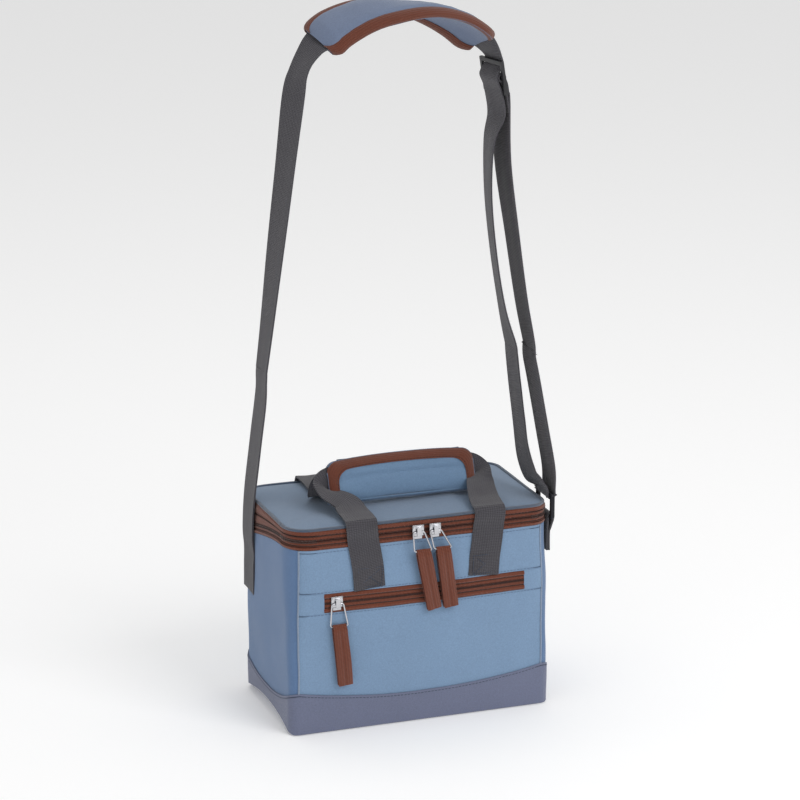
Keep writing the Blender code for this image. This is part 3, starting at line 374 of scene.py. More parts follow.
def band_top(x, y):
    """Top edge of the base band: hollow between the corners."""
    if abs(x) > 0.1202:
        return 0.026 + 0.015 * min(abs(y) / half_deep, 1) ** 2.4
    return 0.030 + 0.011 * min(abs(x) / 0.12, 1) ** 2


def below_zip(x, y):
    return zip_height(y) - 0.0088 if y < 0.0502 else 0.1668


lower_front = cloth(
    "pocket_front", wall_grid("front", 0, lambda x, y: hem(x, y) + 0.001, 0.1178, 60), canvas_thick,
    blue_cloth, ["front_pocket_panel"],
)
upper_front = cloth(
    "upper_front", wall_grid("front", 0, 0.1362, 0.1787, 28), canvas_thick,
    blue_cloth, ["front_upper_panel"],
)
# Both side walls take the darker side cloth, whose colour is painted shade.
left_wall = cloth(
    "left_wall", wall_grid("left", 0, hem, below_zip, 80), canvas_thick,
    side_cloth_painted_shade, ["gusset_left"],
)
right_wall = cloth(
    "right_wall", wall_grid("right", 0, hem, below_zip, 80), canvas_thick,
    side_cloth_painted_shade, ["gusset_right"],
)
back_wall = cloth(
    "back_wall", wall_grid("back", 0, 0.001, 0.1668, 70), canvas_thick,
    blue_cloth, ["back_panel"],
)
band = cloth(
    "band", wall_grid("all", 0.0013, hem, band_top, 18, 0.9), canvas_thick,
    slate_cloth, ["base_band"], closed=True,
)
for wall in (lower_front, upper_front, left_wall, right_wall, back_wall, band):
    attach(wall, "bag")

# ---------------------------------------------------------------- base and lining
# A slate canvas sheet closes the bottom and lifts with the hem at the sides. Inside, a tub of foil
# sheet is folded over the foam boards at its rim, and a cloth wall sewn into the front seams backs
# the pocket.


def rounded(x_half, y_half, radii, count):
    """Rounded rectangle in plan, anticlockwise from the front left, with its four corner radii."""
    points = []
    corners = ((-1, -1, 180), (1, -1, 270), (1, 1, 0), (-1, 1, 90))
    for (cx, cy, start), radius in zip(corners, radii):
        for i in range(count):
            angle = math.radians(start + 90 * i / (count - 1))
            x = cx * (x_half - radius) + math.cos(angle) * radius
            y = cy * (y_half - radius) + math.sin(angle) * radius
            points.append((x, y))
    return points


def disc_grid(outline, shares, height):
    """Grid from an outline in to its middle, with a height for each place and share."""
    return [[(x * s, y * s, height(x * s, y * s, s)) for s in shares] for x, y in outline]


def finer(outline, step):
    """The same closed outline with no span longer than step."""
    points = []
    for one, other in zip(outline, outline[1:] + outline[:1]):
        count = max(int(math.dist(one, other) / step), 1)
        for i in range(count):
            x = one[0] + (other[0] - one[0]) * i / count
            y = one[1] + (other[1] - one[1]) * i / count
            points.append((x, y))
    return points


shares = [1, 0.97, 0.93, 0.88, 0.8, 0.7, 0.55, 0.4, 0.25, 0.1, 0.004]
sole_outline = finer(rounded(0.1278, 0.0728, (0.009, 0.009, 0.020, 0.020), 7), 0.006)
sole = disc_grid(sole_outline, shares, lambda x, y, s: max(hem(x, y) * 0.9 - 0.0005, 0.0))
base = cloth("base_sheet", sole, -canvas_thick, slate_cloth, ["base_panel"], closed=True)
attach(base, "bag")

rim = []
inward = 0.002
for x, y in finer(rounded(0.1203, 0.0624, (0.014,) * 4, 7), 0.004):
    line = []
    ox = (1 if x > 0 else -1) * ease(abs(x), 0.10, 0.12)
    oy = (1 if y > 0 else -1) * ease(abs(y), 0.045, 0.0624)
    base_y = y + 0.003
    for out, z in ((0.0062, 0.1835), (0.0062, 0.1862), (0.0045, 0.1872), (0.0020, 0.1872), (0.0, 0.1864)):
        line.append((x + ox * out * (1 if abs(x) > 0.1 else 0), base_y + oy * out * 0.9, z))
    for step in range(1, 25):
        z = 0.1864 - (0.1864 - 0.0102 - hem(x, y) * 0.9) * step / 24
        crinkle = noise.noise((x * 60, y * 60, z * 45)) * 0.0012
        crinkle += noise.noise((x * 18, y * 18, z * 16)) * 0.0014
        move = inward * ease(step, 0, 4) - crinkle
        line.append((x - ox * move, base_y - oy * move, z))
    for share in (0.95, 0.85, 0.7, 0.5, 0.3, 0.1, 0.005):
        level = 0.0100 + hem(x * share, y * share) * 0.9
        level += noise.noise((x * share * 40, y * share * 40, 2)) * 0.0007
        line.append(((x - ox * inward) * share, 0.003 + (y - oy * inward) * share, level))
    rim.append(line)
tub = cloth("foil_tub", rim, 0.0005, foil_surface, ["liner_tub"], closed=True)
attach(tub, "bag")
for side, name in ((-1, "left"), (1, "right")):
    rows = [[wall_point(side * half_wide, y, side, 0, z, -0.0016)[:3] for z in np.linspace(0.0150, 0.186, 40)]
            for y in np.linspace(0.053, -0.0655, 30)[::-side]]
    slab = cloth("foam_slab_" + name, rows, 0.0056, foam_surface, ["foam_" + name])
    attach(slab, "bag")
bed = disc_grid(finer(rounded(0.1255, 0.0705, (0.009, 0.009, 0.018, 0.018), 7), 0.006), shares,
                lambda x, y, s: hem(x, y) * 0.9 + 0.0074)
bed = cloth("foam_bed", bed, 0.0060, foam_surface, ["foam_base"], closed=True)
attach(bed, "bag")
for name in ("foam_front", "foam_back"):
    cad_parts[name].data.materials.clear()
    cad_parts[name].data.materials.append(foam_surface)
inner_wall = cloth(
    "pocket_back",
    [[(x * (1 - 0.075 * ease(z, 0.05, 0.185)), -0.0668 + noise.noise((x * 20, z * 20, 1)) * 0.0003, z)
      for z in np.linspace(0.009, 0.1855, 24)]
     for x in np.linspace(-0.1255, 0.1255, 50)],
    0.0008, lining_cloth, ["front_inner_wall"],
)
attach(inner_wall, "bag")

# ---------------------------------------------------------------- lid
# A canvas panel over foam that rises to its middle, lined with foil and edged with a piping cord.
# It stands on the upper zip tape and is sewn to the back through a strip of side cloth, whose darker blue is
# painted shade.

lid_outline = finer(rounded(0.1262, 0.0712, (0.0225, 0.0160, 0.019, 0.019), 9), 0.004)


def lid_height(x, y, share):
    rise = 0.0030 * (1 - share**4) + 0.0012 * (1 - share**2)
    crease = noise.noise((x * 30, y * 30, 7)) * 0.0009 + noise.noise((x * 9, y * 14, 3)) * 0.0010
    press = 0.0009 * math.exp(-(((abs(x - 0.004) - 0.062) / 0.02) ** 2)) * (1 if y < 0 else 0.6)
    return 0.1978 + rise + (crease - press) * (1 - share**6)


lid_shares = [1, 0.985, 0.96, 0.93, 0.89, 0.84, 0.78, 0.71, 0.63, 0.54, 0.45, 0.36, 0.27, 0.18, 0.09, 0.004]
lid_top = cloth("lid_top", disc_grid(lid_outline, lid_shares, lid_height), 0.0012, lid_cloth,
                ["lid_panel"], closed=True)
lid_lining = disc_grid(
    finer(rounded(0.1245, 0.0670, (0.020, 0.014, 0.016, 0.016), 9), 0.004),
    lid_shares,
    lambda x, y, s: 0.1878 + noise.noise((x * 50, y * 50, 5)) * 0.0006 * (1 - s**4),
)
lid_lining = [[(x, y - 0.0035, z) for x, y, z in line] for line in lid_lining]
lid_foil = cloth("lid_foil", lid_lining, -0.0006, foil_surface, ["lid_liner"], closed=True)
wadding = disc_grid(finer(rounded(0.1250, 0.0675, (0.0205, 0.0145, 0.016, 0.016), 9), 0.004), lid_shares,
                    lambda x, y, s: 0.1956 + 0.0012 * (1 - s * s))
wadding = [[(x, y - 0.003, z) for x, y, z in line] for line in wadding]
wadding = cloth("lid_wadding", wadding, 0.0070, foam_surface, ["lid_foam"], closed=True)
rear = wall_grid("rear", 0, lambda x, y: 0.1673 if y > 0.05 else zip_height(y), 0.1962, 14, 0.8)
# The lid's back strip takes the darker side cloth too, whose colour is painted shade.
collar = cloth("lid_collar", rear, canvas_thick, side_cloth_painted_shade, ["lid_back_collar"])
for piece in (lid_top, lid_foil, wadding, collar):
    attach(piece, "lid")


def swept(name, line, radius, surface, nodes=(), closed=True, sides=12):
    """Round bar along a line of points."""
    points = np.asarray(line, float)
    if closed:
        ahead = np.roll(points, -1, 0) - np.roll(points, 1, 0)
    else:
        ahead = np.gradient(points, axis=0)
    ahead /= np.linalg.norm(ahead, axis=1, keepdims=True)
    side = np.cross(ahead[0], (0.31, 0.17, 0.93))
    rings = []
    for place, forward in zip(points, ahead):
        side = side - forward * side.dot(forward)
        side /= np.linalg.norm(side)
        other = np.cross(forward, side)
        rings.append([
            place + (side * math.cos(a) + other * math.sin(a)) * radius
            for a in np.linspace(0, 2 * math.pi, sides, endpoint=False)
        ])
    count = len(rings)
    verts = np.asarray(rings).reshape(-1, 3).tolist()
    faces = []
    for i in range(count if closed else count - 1):
        for k in range(sides):
            a, b = i * sides + k, i * sides + (k + 1) % sides
            c, d = (i + 1) % count * sides + (k + 1) % sides, (i + 1) % count * sides + k
            faces.append((a, b, c, d))
    if not closed:
        faces.append(tuple(range(sides))[::-1])
        faces.append(tuple(range((count - 1) * sides, count * sides)))
    mesh = bpy.data.meshes.new(name)
    mesh.from_pydata(verts, [], faces)
    flat = mesh.uv_layers.new(name="Cloth")
    length = np.concatenate([[0], np.cumsum(np.linalg.norm(np.diff(points, axis=0), axis=1))])
    for loop in mesh.loops:
        ring, k = divmod(loop.vertex_index, sides)
        flat.data[loop.index].uv = (length[ring], k * radius * 0.5)
    work = bmesh.new()
    work.from_mesh(mesh)
    bmesh.ops.recalc_face_normals(work, faces=work.faces)
    work.to_mesh(mesh)
    work.free()
    mesh.shade_smooth()
    mesh.materials.append(surface)
    made = bpy.data.objects.new(name, mesh)
    bpy.context.scene.collection.objects.link(made)
    if nodes:
        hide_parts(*nodes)
    return made


edge_outline = finer(rounded(0.1268, 0.0718, (0.0230, 0.0165, 0.0195, 0.0195), 11), 0.004)
edge_line = [(x, y, 0.1978 + noise.noise((x * 30, y * 30, 1)) * 0.0005) for x, y in edge_outline]
piping = swept("lid_piping_cord", edge_line, 0.00165, piping_cloth, ["lid_piping"])
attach(piping, "lid")

# ---------------------------------------------------------------- zips
# Ribbed brown tape with a padded binding on both sides of each nylon coil, sewn to the lid's edge,
# to the walls and to the pocket's mouth. The teeth are one small bead repeated along a tape's edge.


def repeated(name, places, unit, surface, body):
    """One small shape repeated at points, each with the two directions of its length and its face."""
    holder = bpy.data.meshes.new(name + "_places")
    holder.from_pydata([tuple(p) for p, _, _ in places], [], [])
    turns = holder.attributes.new("turn", "FLOAT_VECTOR", "POINT")
    values = []
    for _, ahead, face in places:
        ahead, face = Vector(ahead).normalized(), Vector(face)
        over = face.cross(ahead).normalized()
        turned = Matrix((ahead, over, ahead.cross(over))).transposed()
        values += list(turned.to_euler())
    turns.data.foreach_set("vector", values)
    made = bpy.data.objects.new(name + "_source", holder)
    bpy.context.scene.collection.objects.link(made)
    tree = bpy.data.node_groups.new(name + "_nodes", "GeometryNodeTree")
    tree.interface.new_socket(name="Geometry", in_out="INPUT", socket_type="NodeSocketGeometry")
    tree.interface.new_socket(name="Unit", in_out="INPUT", socket_type="NodeSocketObject")
    tree.interface.new_socket(name="Surface", in_out="INPUT", socket_type="NodeSocketMaterial")
    tree.interface.new_socket(name="Geometry", in_out="OUTPUT", socket_type="NodeSocketGeometry")
    start, end = tree.nodes.new("NodeGroupInput"), tree.nodes.new("NodeGroupOutput")
    info = tree.nodes.new("GeometryNodeObjectInfo")
    place = tree.nodes.new("GeometryNodeInstanceOnPoints")
    turn = tree.nodes.new("GeometryNodeInputNamedAttribute")
    turn.data_type = "FLOAT_VECTOR"
    turn.inputs["Name"].default_value = "turn"
    real = tree.nodes.new("GeometryNodeRealizeInstances")
    paint = tree.nodes.new("GeometryNodeSetMaterial")
    tree.links.new(start.outputs["Geometry"], place.inputs["Points"])
    tree.links.new(start.outputs["Unit"], info.inputs["Object"])
    tree.links.new(info.outputs["Geometry"], place.inputs["Instance"])
    tree.links.new(turn.outputs["Attribute"], place.inputs["Rotation"])
    tree.links.new(place.outputs["Instances"], real.inputs["Geometry"])
    tree.links.new(real.outputs["Geometry"], paint.inputs["Geometry"])
    tree.links.new(start.outputs["Surface"], paint.inputs["Material"])
    tree.links.new(paint.outputs["Geometry"], end.inputs["Geometry"])
    run = made.modifiers.new("repeat", "NODES")
    run.node_group = tree
    names = {item.name: item.identifier for item in tree.interface.items_tree if item.in_out == "INPUT"}
    run[names["Unit"]] = unit
    run[names["Surface"]] = surface
    bpy.context.view_layer.update()
    graph = bpy.context.evaluated_depsgraph_get()
    mesh = bpy.data.meshes.new_from_object(made.evaluated_get(graph))
    mesh.name = name
    if not mesh.materials:
        mesh.materials.append(surface)
    mesh.shade_smooth()
    bpy.data.objects.remove(made)
    done = bpy.data.objects.new(name, mesh)
    bpy.context.scene.collection.objects.link(done)
    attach(done, body)
    return done


def bead(name, length, width, height):
    """A rounded bar that lies along X with its face to Z."""
    mesh = bpy.data.meshes.new(name)
    rings = []
    for x, scale in ((-0.5, 0.45), (-0.36, 0.95), (0.36, 0.95), (0.5, 0.45)):
        rings.append([(x * length, math.cos(a) * width / 2 * scale, math.sin(a) * height / 2 * scale)
                      for a in np.linspace(0, 2 * math.pi, 6, endpoint=False)])
    verts = [p for ring in rings for p in ring]
    faces = []
    for i in range(3):
        for k in range(6):
            after = (k + 1) % 6
            faces.append((i * 6 + k, i * 6 + after, (i + 1) * 6 + after, (i + 1) * 6 + k))
    faces += [tuple(range(6))[::-1], tuple(range(18, 24))]
    mesh.from_pydata(verts, [], faces)
    work = bmesh.new()
    work.from_mesh(mesh)
    bmesh.ops.recalc_face_normals(work, faces=work.faces)
    work.to_mesh(mesh)
    work.free()
    made = bpy.data.objects.new(name, mesh)
    bpy.context.scene.collection.objects.link(made)
    made.hide_render = True
    made.hide_viewport = False
    return made


def walked(points, spacing, offset=0.0):
    """Points at equal spacing along a line, each with the direction there."""
    points = np.asarray(points, float)
    step = np.linalg.norm(np.diff(points, axis=0), axis=1)
    length = np.concatenate([[0], np.cumsum(step)])
    spots = np.arange(offset + spacing / 2, length[-1], spacing)
    placed = np.stack([np.interp(spots, length, points[:, k]) for k in range(points.shape[1])], 1)
    if len(placed) > 1:
        ahead = np.gradient(placed[:, :3], axis=0)
    else:
        ahead = np.tile(points[-1, :3] - points[0, :3], (1, 1))
    return placed, ahead


def wall_line(part, outward, height):
    """Points along a wall at a height, each with its outward normal, as rows of six numbers."""
    line = []
    for x, y, nx, ny in plan(part):
        line.append(wall_point(x, y, nx, ny, height(x, y) if callable(height) else height, outward))
    return line


def tape_profile(edge):
    """Relief across one tape: smooth beside the teeth, then a groove, then a padded binding."""
    padded = 0.0012 * max(1 - abs((edge - 0.75) / 0.25) ** 3, 0)
    smooth = 0.0004 * math.sin(math.pi * min(edge / 0.46, 1))
    return padded + smooth - 0.0004 * math.exp(-(((edge - 0.48) / 0.05) ** 2))


def placed_along(line, spacing, offset=0.0, crosswise=False):
    """Places for repeated pieces along a wall line, lying along it or across it."""
    spots, ahead = walked(line, spacing, offset)
    places = []
    for spot, direction in zip(spots, ahead):
        face = Vector(spot[3:6]).normalized()
        lie = Vector(direction).cross(face) if crosswise else direction
        places.append((spot[:3], lie, face))
    return places


tooth = bead("tooth", 0.0015, 0.0009, 0.0009)
pocket_tooth = bead("pocket_tooth", 0.0026, 0.0009, 0.0009)
stitch = bead("stitch", 0.0024, 0.0006, 0.0004)
stitch_pitch = 0.0034
tape_thick = 0.0008
tape_top = 0.1966


def beside_teeth(y, side, drop, share):
    """Height of a line on a tape: a drop below the teeth, or a share of the way up to the lid's edge."""
    teeth = zip_height(y)
    return teeth - drop if side < 0 else teeth + (tape_top - teeth) * share


tape = wall_grid("zip", -0.0002, lambda x, y: zip_height(y) - 0.0086, lambda x, y: zip_height(y) - 0.0003,
                 24, 0.5, lambda t: tape_profile(1 - t))
lower_tape = cloth("zip_tape_lower", tape, tape_thick, zip_cloth, ["main_zip_lower_tape"])
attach(lower_tape, "bag")
tape = wall_grid("zip", -0.0002, lambda x, y: zip_height(y) + 0.0003, tape_top, 24, 0.5, tape_profile)
upper_tape = cloth("zip_tape_upper", tape, tape_thick, zip_cloth, ["main_zip_upper_tape"])
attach(upper_tape, "lid")
for side, name, body in ((-1, "lower", "bag"), (1, "upper", "lid")):
    line = wall_line("zip", 0.0003, lambda x, y: zip_height(y) + side * 0.00095)
    teeth = placed_along(line, 0.0014, 0.0007 * (side > 0), True)
    coil = repeated("zip_coil_" + name, teeth, tooth, coil_nylon, body)
    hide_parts("main_zip_%s_coil" % name)
    seam = wall_line("zip", 0.0010, lambda x, y: beside_teeth(y, side, 0.0052, 0.62))
    repeated("zip_stitches_" + name, placed_along(seam, stitch_pitch), stitch, thread_brown, body)
    # Painted shade: a thin dark cord along each tape's groove stands in for the groove's shadow.
    groove = [p[:3] for p in wall_line("zip", -0.0001, lambda x, y: beside_teeth(y, side, 0.0042, 0.48))]
    groove = swept("zip_groove_" + name, groove, 0.0005, thread_brown, closed=False, sides=8)
    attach(groove, body)


def front_grid(left, right, low, high, outward, columns, rows, profile=None):
    """Grid over the swollen front between two places across and two heights."""
    grid = []
    for x in np.linspace(left, right, columns):
        line = []
        for share in np.linspace(0, 1, rows):
            more = profile(share) if profile else 0
            line.append(wall_point(x, -half_deep, 0, -1, low + (high - low) * share, outward + more)[:3])
        grid.append(line)
    return grid


for name, low, high in (("lower", 0.1180, 0.1268), ("upper", 0.1272, 0.1360)):
    relief = tape_profile if name == "upper" else lambda t: tape_profile(1 - t)
    tape = front_grid(-0.096, 0.102, low, high, -0.0003, 70, 24, relief)
    tape = cloth("pocket_tape_" + name, tape, tape_thick, zip_cloth,
                 ["pocket_zip_%s_tape" % name])
    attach(tape, "bag")
for name, left, right in (("left", -0.1199, -0.0958), ("right", 0.1018, 0.1199)):
    patch = front_grid(left, right, 0.1176, 0.1364, 0.0004, 12, 8)
    patch = cloth("pocket_patch_" + name, patch, canvas_thick, blue_cloth,
                  ["pocket_zip_end_" + name])
    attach(patch, "bag")


def front_line(left, right, z, outward):
    """Points across the front at a height, each with its outward normal."""
    return [wall_point(x, -half_deep, 0, -1, z, outward) for x in np.linspace(left, right, 70)]


teeth = placed_along(front_line(-0.0955, 0.1015, 0.127, 0.0003), 0.0013, 0, True)
coil = repeated("pocket_coil", teeth, pocket_tooth, coil_nylon, "bag")
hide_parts("pocket_zip_coil")
# Painted shade: a thin dark cord along each pocket tape's groove stands in for the groove's shadow.
for index, z in enumerate((0.1225, 0.1315)):
    groove = [p[:3] for p in front_line(-0.0955, 0.1015, z, -0.0003)]
    groove = swept("pocket_groove_%d" % index, groove, 0.0005, thread_brown, closed=False, sides=8)
    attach(groove, "bag")
for index, z in enumerate((0.1163, 0.1377, 0.1762)):
    seam = placed_along(front_line(-0.119, 0.119, z, 0.0002), stitch_pitch)
    repeated("front_stitches_%d" % index, seam, stitch, thread_blue, "bag")
band_line = []
for x, y, nx, ny in plan("all"):
    band_line.append(wall_point(x, y, nx, ny, band_top(x, y) - 0.0022, 0.0014, 0.9))
repeated("band_stitches", placed_along(band_line, stitch_pitch), stitch, thread_dark, "bag")
# The front seams are real raised ridges, drawn in the paler seam cloth as a painted highlight along them.
for side, name in ((-1, "left"), (1, "right")):
    seam = [wall_point(side * 0.1204, -half_deep, 0, -1, z, 0.0002)[:3]
            for z in np.linspace(0.038, 0.1787, 60)]
    seam = [(x + noise.noise((z * 40, side, 0)) * 0.0004, y, z) for x, y, z in seam]
    ridge = swept("seam_ridge_" + name, seam, 0.0009, seam_cloth_painted_highlight, closed=False)
    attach(ridge, "bag")

# ---------------------------------------------------------------- webbing of the handles
# Flat ribbed webbing with rolled edges, box-stitched to the front and to the back of the bag. Both
# straps bend in over the lid's edge and run on into the two halves of the grip.


def curve_through(points, per_span):
    """Catmull-Rom curve through rows of numbers."""
    rows = np.asarray(points, float)
    ends = np.concatenate([rows[:1], rows, rows[-1:]])
    made = []
    for i in range(1, len(ends) - 2):
        a, b, c, d = ends[i - 1], ends[i], ends[i + 1], ends[i + 2]
        for t in np.linspace(0, 1, per_span, endpoint=False):
            bend = (2 * a - 5 * b + 4 * c - d) * t**2
            made.append(0.5 * (2 * b + (c - a) * t + bend + (3 * b - a - 3 * c + d) * t**3))
    made.append(rows[-1])
    return np.asarray(made)


def webbing(name, route, thickness, surface, nodes, per_span=8, cup=0.0):
    """Webbing along a route of points and width vectors, slightly cupped and wavy."""
    rows = curve_through([(*p, *w) for p, w in route], per_span)
    points, widths = rows[:, :3], rows[:, 3:6]
    ahead = np.gradient(points, axis=0)
    ahead /= np.maximum(np.linalg.norm(ahead, axis=1, keepdims=True), 1e-9)
    size = np.linalg.norm(widths, axis=1, keepdims=True)
    widths = widths - ahead * (widths * ahead).sum(1, keepdims=True)
    widths = widths / np.linalg.norm(widths, axis=1, keepdims=True) * size
    through = np.cross(ahead, widths / size)
    grid = []
    for i, place in enumerate(points):
        line = []
        for share in np.linspace(-0.5, 0.5, 12):
            wave = noise.noise((i * 0.11, share * 2.2, len(name))) * 0.0006
            bend = cup * (4 * share * share - 0.5)
            line.append(place + widths[i] * share + through[i] * (thickness / 2 + bend + wave))
        grid.append(line)
    return cloth(name, grid, thickness, surface, nodes)


grip_tilt = math.radians(20)
handle_x = 0.004


def grip_place(out, up):
    """Y and Z in the grip's leaning section: out from its middle and up from its fold."""
    y = -0.022 - math.cos(grip_tilt) * out + math.sin(grip_tilt) * up
    z = 0.2065 + math.sin(grip_tilt) * out + math.cos(grip_tilt) * up
    return y, z


def handle_half(face, side):
    """Route of half a handle, from its foot to the middle of the grip."""
    def leg(y, z, out, width=0.030):
        return (handle_x + side * (0.056 + 0.007 * out), y, z), (width, 0, 0)

    def skin(z):
        x = handle_x + side * 0.058
        return face * (0.0731 + 0.0008 + wall_offset(x, face * half_deep, 0, face, z))

    lift = 0.2038
    up = np.array([0, math.sin(grip_tilt), math.cos(grip_tilt)])
    slant = (np.array([1, 0, 0]) + up * side) * 0.0140
    route = [leg(skin(0.1375), 0.1375, 0), leg(skin(0.146), 0.146, 0.1), leg(skin(0.156), 0.156, 0.2)]
    route += [leg(skin(0.170) + face * 0.0005, 0.170, 0.5), leg(face * 0.0757, 0.184, 0.8)]
    route += [leg(face * 0.0765, 0.196, 1), leg(face * 0.0742, 0.2022, 1), leg(face * 0.0670, lift, 1.05)]
    if face > 0:
        route += [leg(0.040, lift + 0.0006, 1.3, 0.029), leg(0.012, lift + 0.0010, 1.7, 0.028)]
        route += [((side * 0.0745, -0.0030, lift + 0.0050), (0.025, 0, 0))]
    else:
        route += [leg(-0.0550, lift + 0.0028, 1.25, 0.029), leg(-0.0420, lift + 0.0078, 1.6, 0.027)]
        route += [((side * 0.0745, -0.0300, lift + 0.0128), (0.024, 0, 0.004 * side))]
    route += [((side * 0.0785, *grip_place(-face * 0.0028, 0.0150)), tuple(slant))]
    for x in (0.0700, 0.0450, 0.0150):
        route += [((side * x, *grip_place(-face * 0.00165, 0.0200)), tuple(up * side * 0.024))]
    return route


for face, body, name in ((-1, "front_handle", "front"), (1, "back_handle", "back")):
    other = [(p, tuple(-v for v in w)) for p, w in reversed(handle_half(face, 1))]
    strap = webbing(name + "_webbing", handle_half(face, -1) + other, 0.0014, webbing_cloth,
                    [name + "_handle_webbing"], cup=0.0002)
    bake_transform(strap)
    for side, hand in ((-1, "left"), (1, "right")):
        boxes = []
        corners = [(-0.0115, 0.1395), (0.0115, 0.1395), (0.0130, 0.1575), (-0.0105, 0.1575)]
        for path in (corners + corners[:1], corners[::2], corners[1::2]):
            line = []
            for one, two in zip(path, path[1:]):
                for t in np.linspace(0, 1, 8, endpoint=False):
                    x = handle_x + side * 0.0565 + one[0] + (two[0] - one[0]) * t
                    z = one[1] + (two[1] - one[1]) * t
                    y = face * (0.0731 + 0.00165 + wall_offset(x, face * half_deep, 0, face, z))
                    line.append((x, y, z, 0, face, 0))
            boxes += placed_along(line, 0.0030)
        repeated("%s_box_stitch_%s" % (name, hand), boxes, stitch, thread_dark, "bag")

# ---------------------------------------------------------------- padded grip
# Two puffed canvas pads joined by a fold, each bound with brown tape on its three free edges. The
# ends gather where the webbing goes in, and hook and loop strips hold the pads shut round it.

grip_half = 0.0725


def grip_pad(name, sign, thickness, nodes, body):
    """One pad: flat on the inside, puffed and creased on the outside."""
    grid = []
    for x in np.linspace(-grip_half * sign, grip_half * sign, 74):
        line = []
        along = abs(x) / grip_half
        crown = 0.0290 + math.sqrt(max(0.0100**2 - max(abs(x) - 0.0625, 0) ** 2, 0))
        for rise in np.linspace(0, 1, 26):
            up = -0.0005 + (crown + 0.0005) * rise
            puff = (1 - (2 * rise - 1) ** 4) * (1 - along**8)
            groove = 0.0016 * math.exp(-(((rise - 0.52) / 0.05) ** 2)) * (1 - along**6)
            crease = noise.noise((x * 55, up * 70, 4 + sign)) * 0.0010
            crease += noise.noise((x * 160, up * 25, 8)) * 0.0006 * along**3
            out = 0.0045 + thickness * puff - groove + crease * puff
            droop = 0.0022 * along**4
            y, z = grip_place(sign * out, up - droop * (0.4 + 0.6 * rise) + 0.0012 * math.cos(x * 30))
            line.append((x, y, z))
        grid.append(line)
    pad = cloth(name, grid, 0.0022, grip_cloth, nodes)
    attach(pad, body)
    turns = [math.radians(a) for a in np.linspace(180, 90, 9)[1:-1]]
    outer = [(-grip_half, up) for up in np.linspace(0.002, 0.0290, 12)]
    inner = [(-0.0630, up) for up in np.linspace(0.002, 0.0180, 12)]
    outer += [(-0.0625 + 0.0100 * math.cos(a), 0.0290 + 0.0100 * math.sin(a)) for a in turns]
    inner += [(-0.0515 + 0.0115 * math.cos(a), 0.0180 + 0.0115 * math.sin(a)) for a in turns]
    outer += [(x, 0.0390) for x in np.linspace(-0.0625, 0, 22)]
    inner += [(x, 0.0295) for x in np.linspace(-0.0515, 0, 22)]
    outer += [(-x, up) for x, up in outer[-2::-1]]
    inner += [(-x, up) for x, up in inner[-2::-1]]
    strip = []
    for (x, up), (inner_x, inner_up) in zip(outer[::sign], inner[::sign]):
        along = abs(x) / grip_half
        droop = 0.0022 * along**4
        line = []
        for share in np.linspace(0, 1, 9):
            px, pu = inner_x + (x - inner_x) * share, inner_up + (up - inner_up) * share
            crease = noise.noise((px * 90, pu * 90, 3)) * 0.0004
            rise = (pu + 0.0005) / 0.0395
            puff = (1 - (2 * rise - 1) ** 4) * (1 - (abs(px) / grip_half) ** 8)
            out = 0.0054 + thickness * max(puff, 0) + crease + 0.0006 * math.sin(share * math.pi)
            if share == 1:
                out = 0.0040
            y, z = grip_place(sign * out, pu - droop * (0.4 + 0.6 * rise) + 0.0012 * math.cos(px * 30))
            line.append((px, y, z))
        strip.append(line)
    return strip


for sign, name, body in ((1, "front", "front_handle"), (-1, "flap", "grip_flap")):
    nodes = ["grip_front_pad"] if sign > 0 else ["grip_flap"]
    strip = grip_pad("grip_pad_" + name, sign, 0.0034, nodes, body)
    edge = cloth("grip_binding_" + name, strip, 0.0011, binding_cloth,
                 ["grip_front_binding" if sign > 0 else "grip_flap_binding"])
    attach(edge, body)
    seam = [(*line[1], 0, *(np.array(grip_place(sign, 0)) - np.array(grip_place(0, 0)))) for line in strip]
    repeated("grip_stitches_" + name, placed_along(seam, 0.0032), stitch, thread_brown, body)
fold = []
for x in np.linspace(-0.0715, 0.0715, 50):
    line = []
    for angle in np.linspace(-100, 100, 13):
        a = math.radians(angle)
        y, z = grip_place(math.sin(a) * 0.0066, -0.0005 - math.cos(a) * 0.0022)
        line.append((x, y, z + noise.noise((x * 50, angle * 0.02, 2)) * 0.0003))
    fold.append(line)
fold = cloth("grip_fold", fold, 0.0012, grip_cloth)
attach(fold, "front_handle")
for node in ("grip_hook_strip", "grip_loop_strip"):
    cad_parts[node].data.materials.clear()
    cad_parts[node].data.materials.append(fastener)

# ---------------------------------------------------------------- sliders and pulls
# Bright die-cast sliders with a bridge over the front, each with a bail of bent wire in it. A brown
# ribbon folded over the bail makes the tab, which rests on the cloth below the zip.


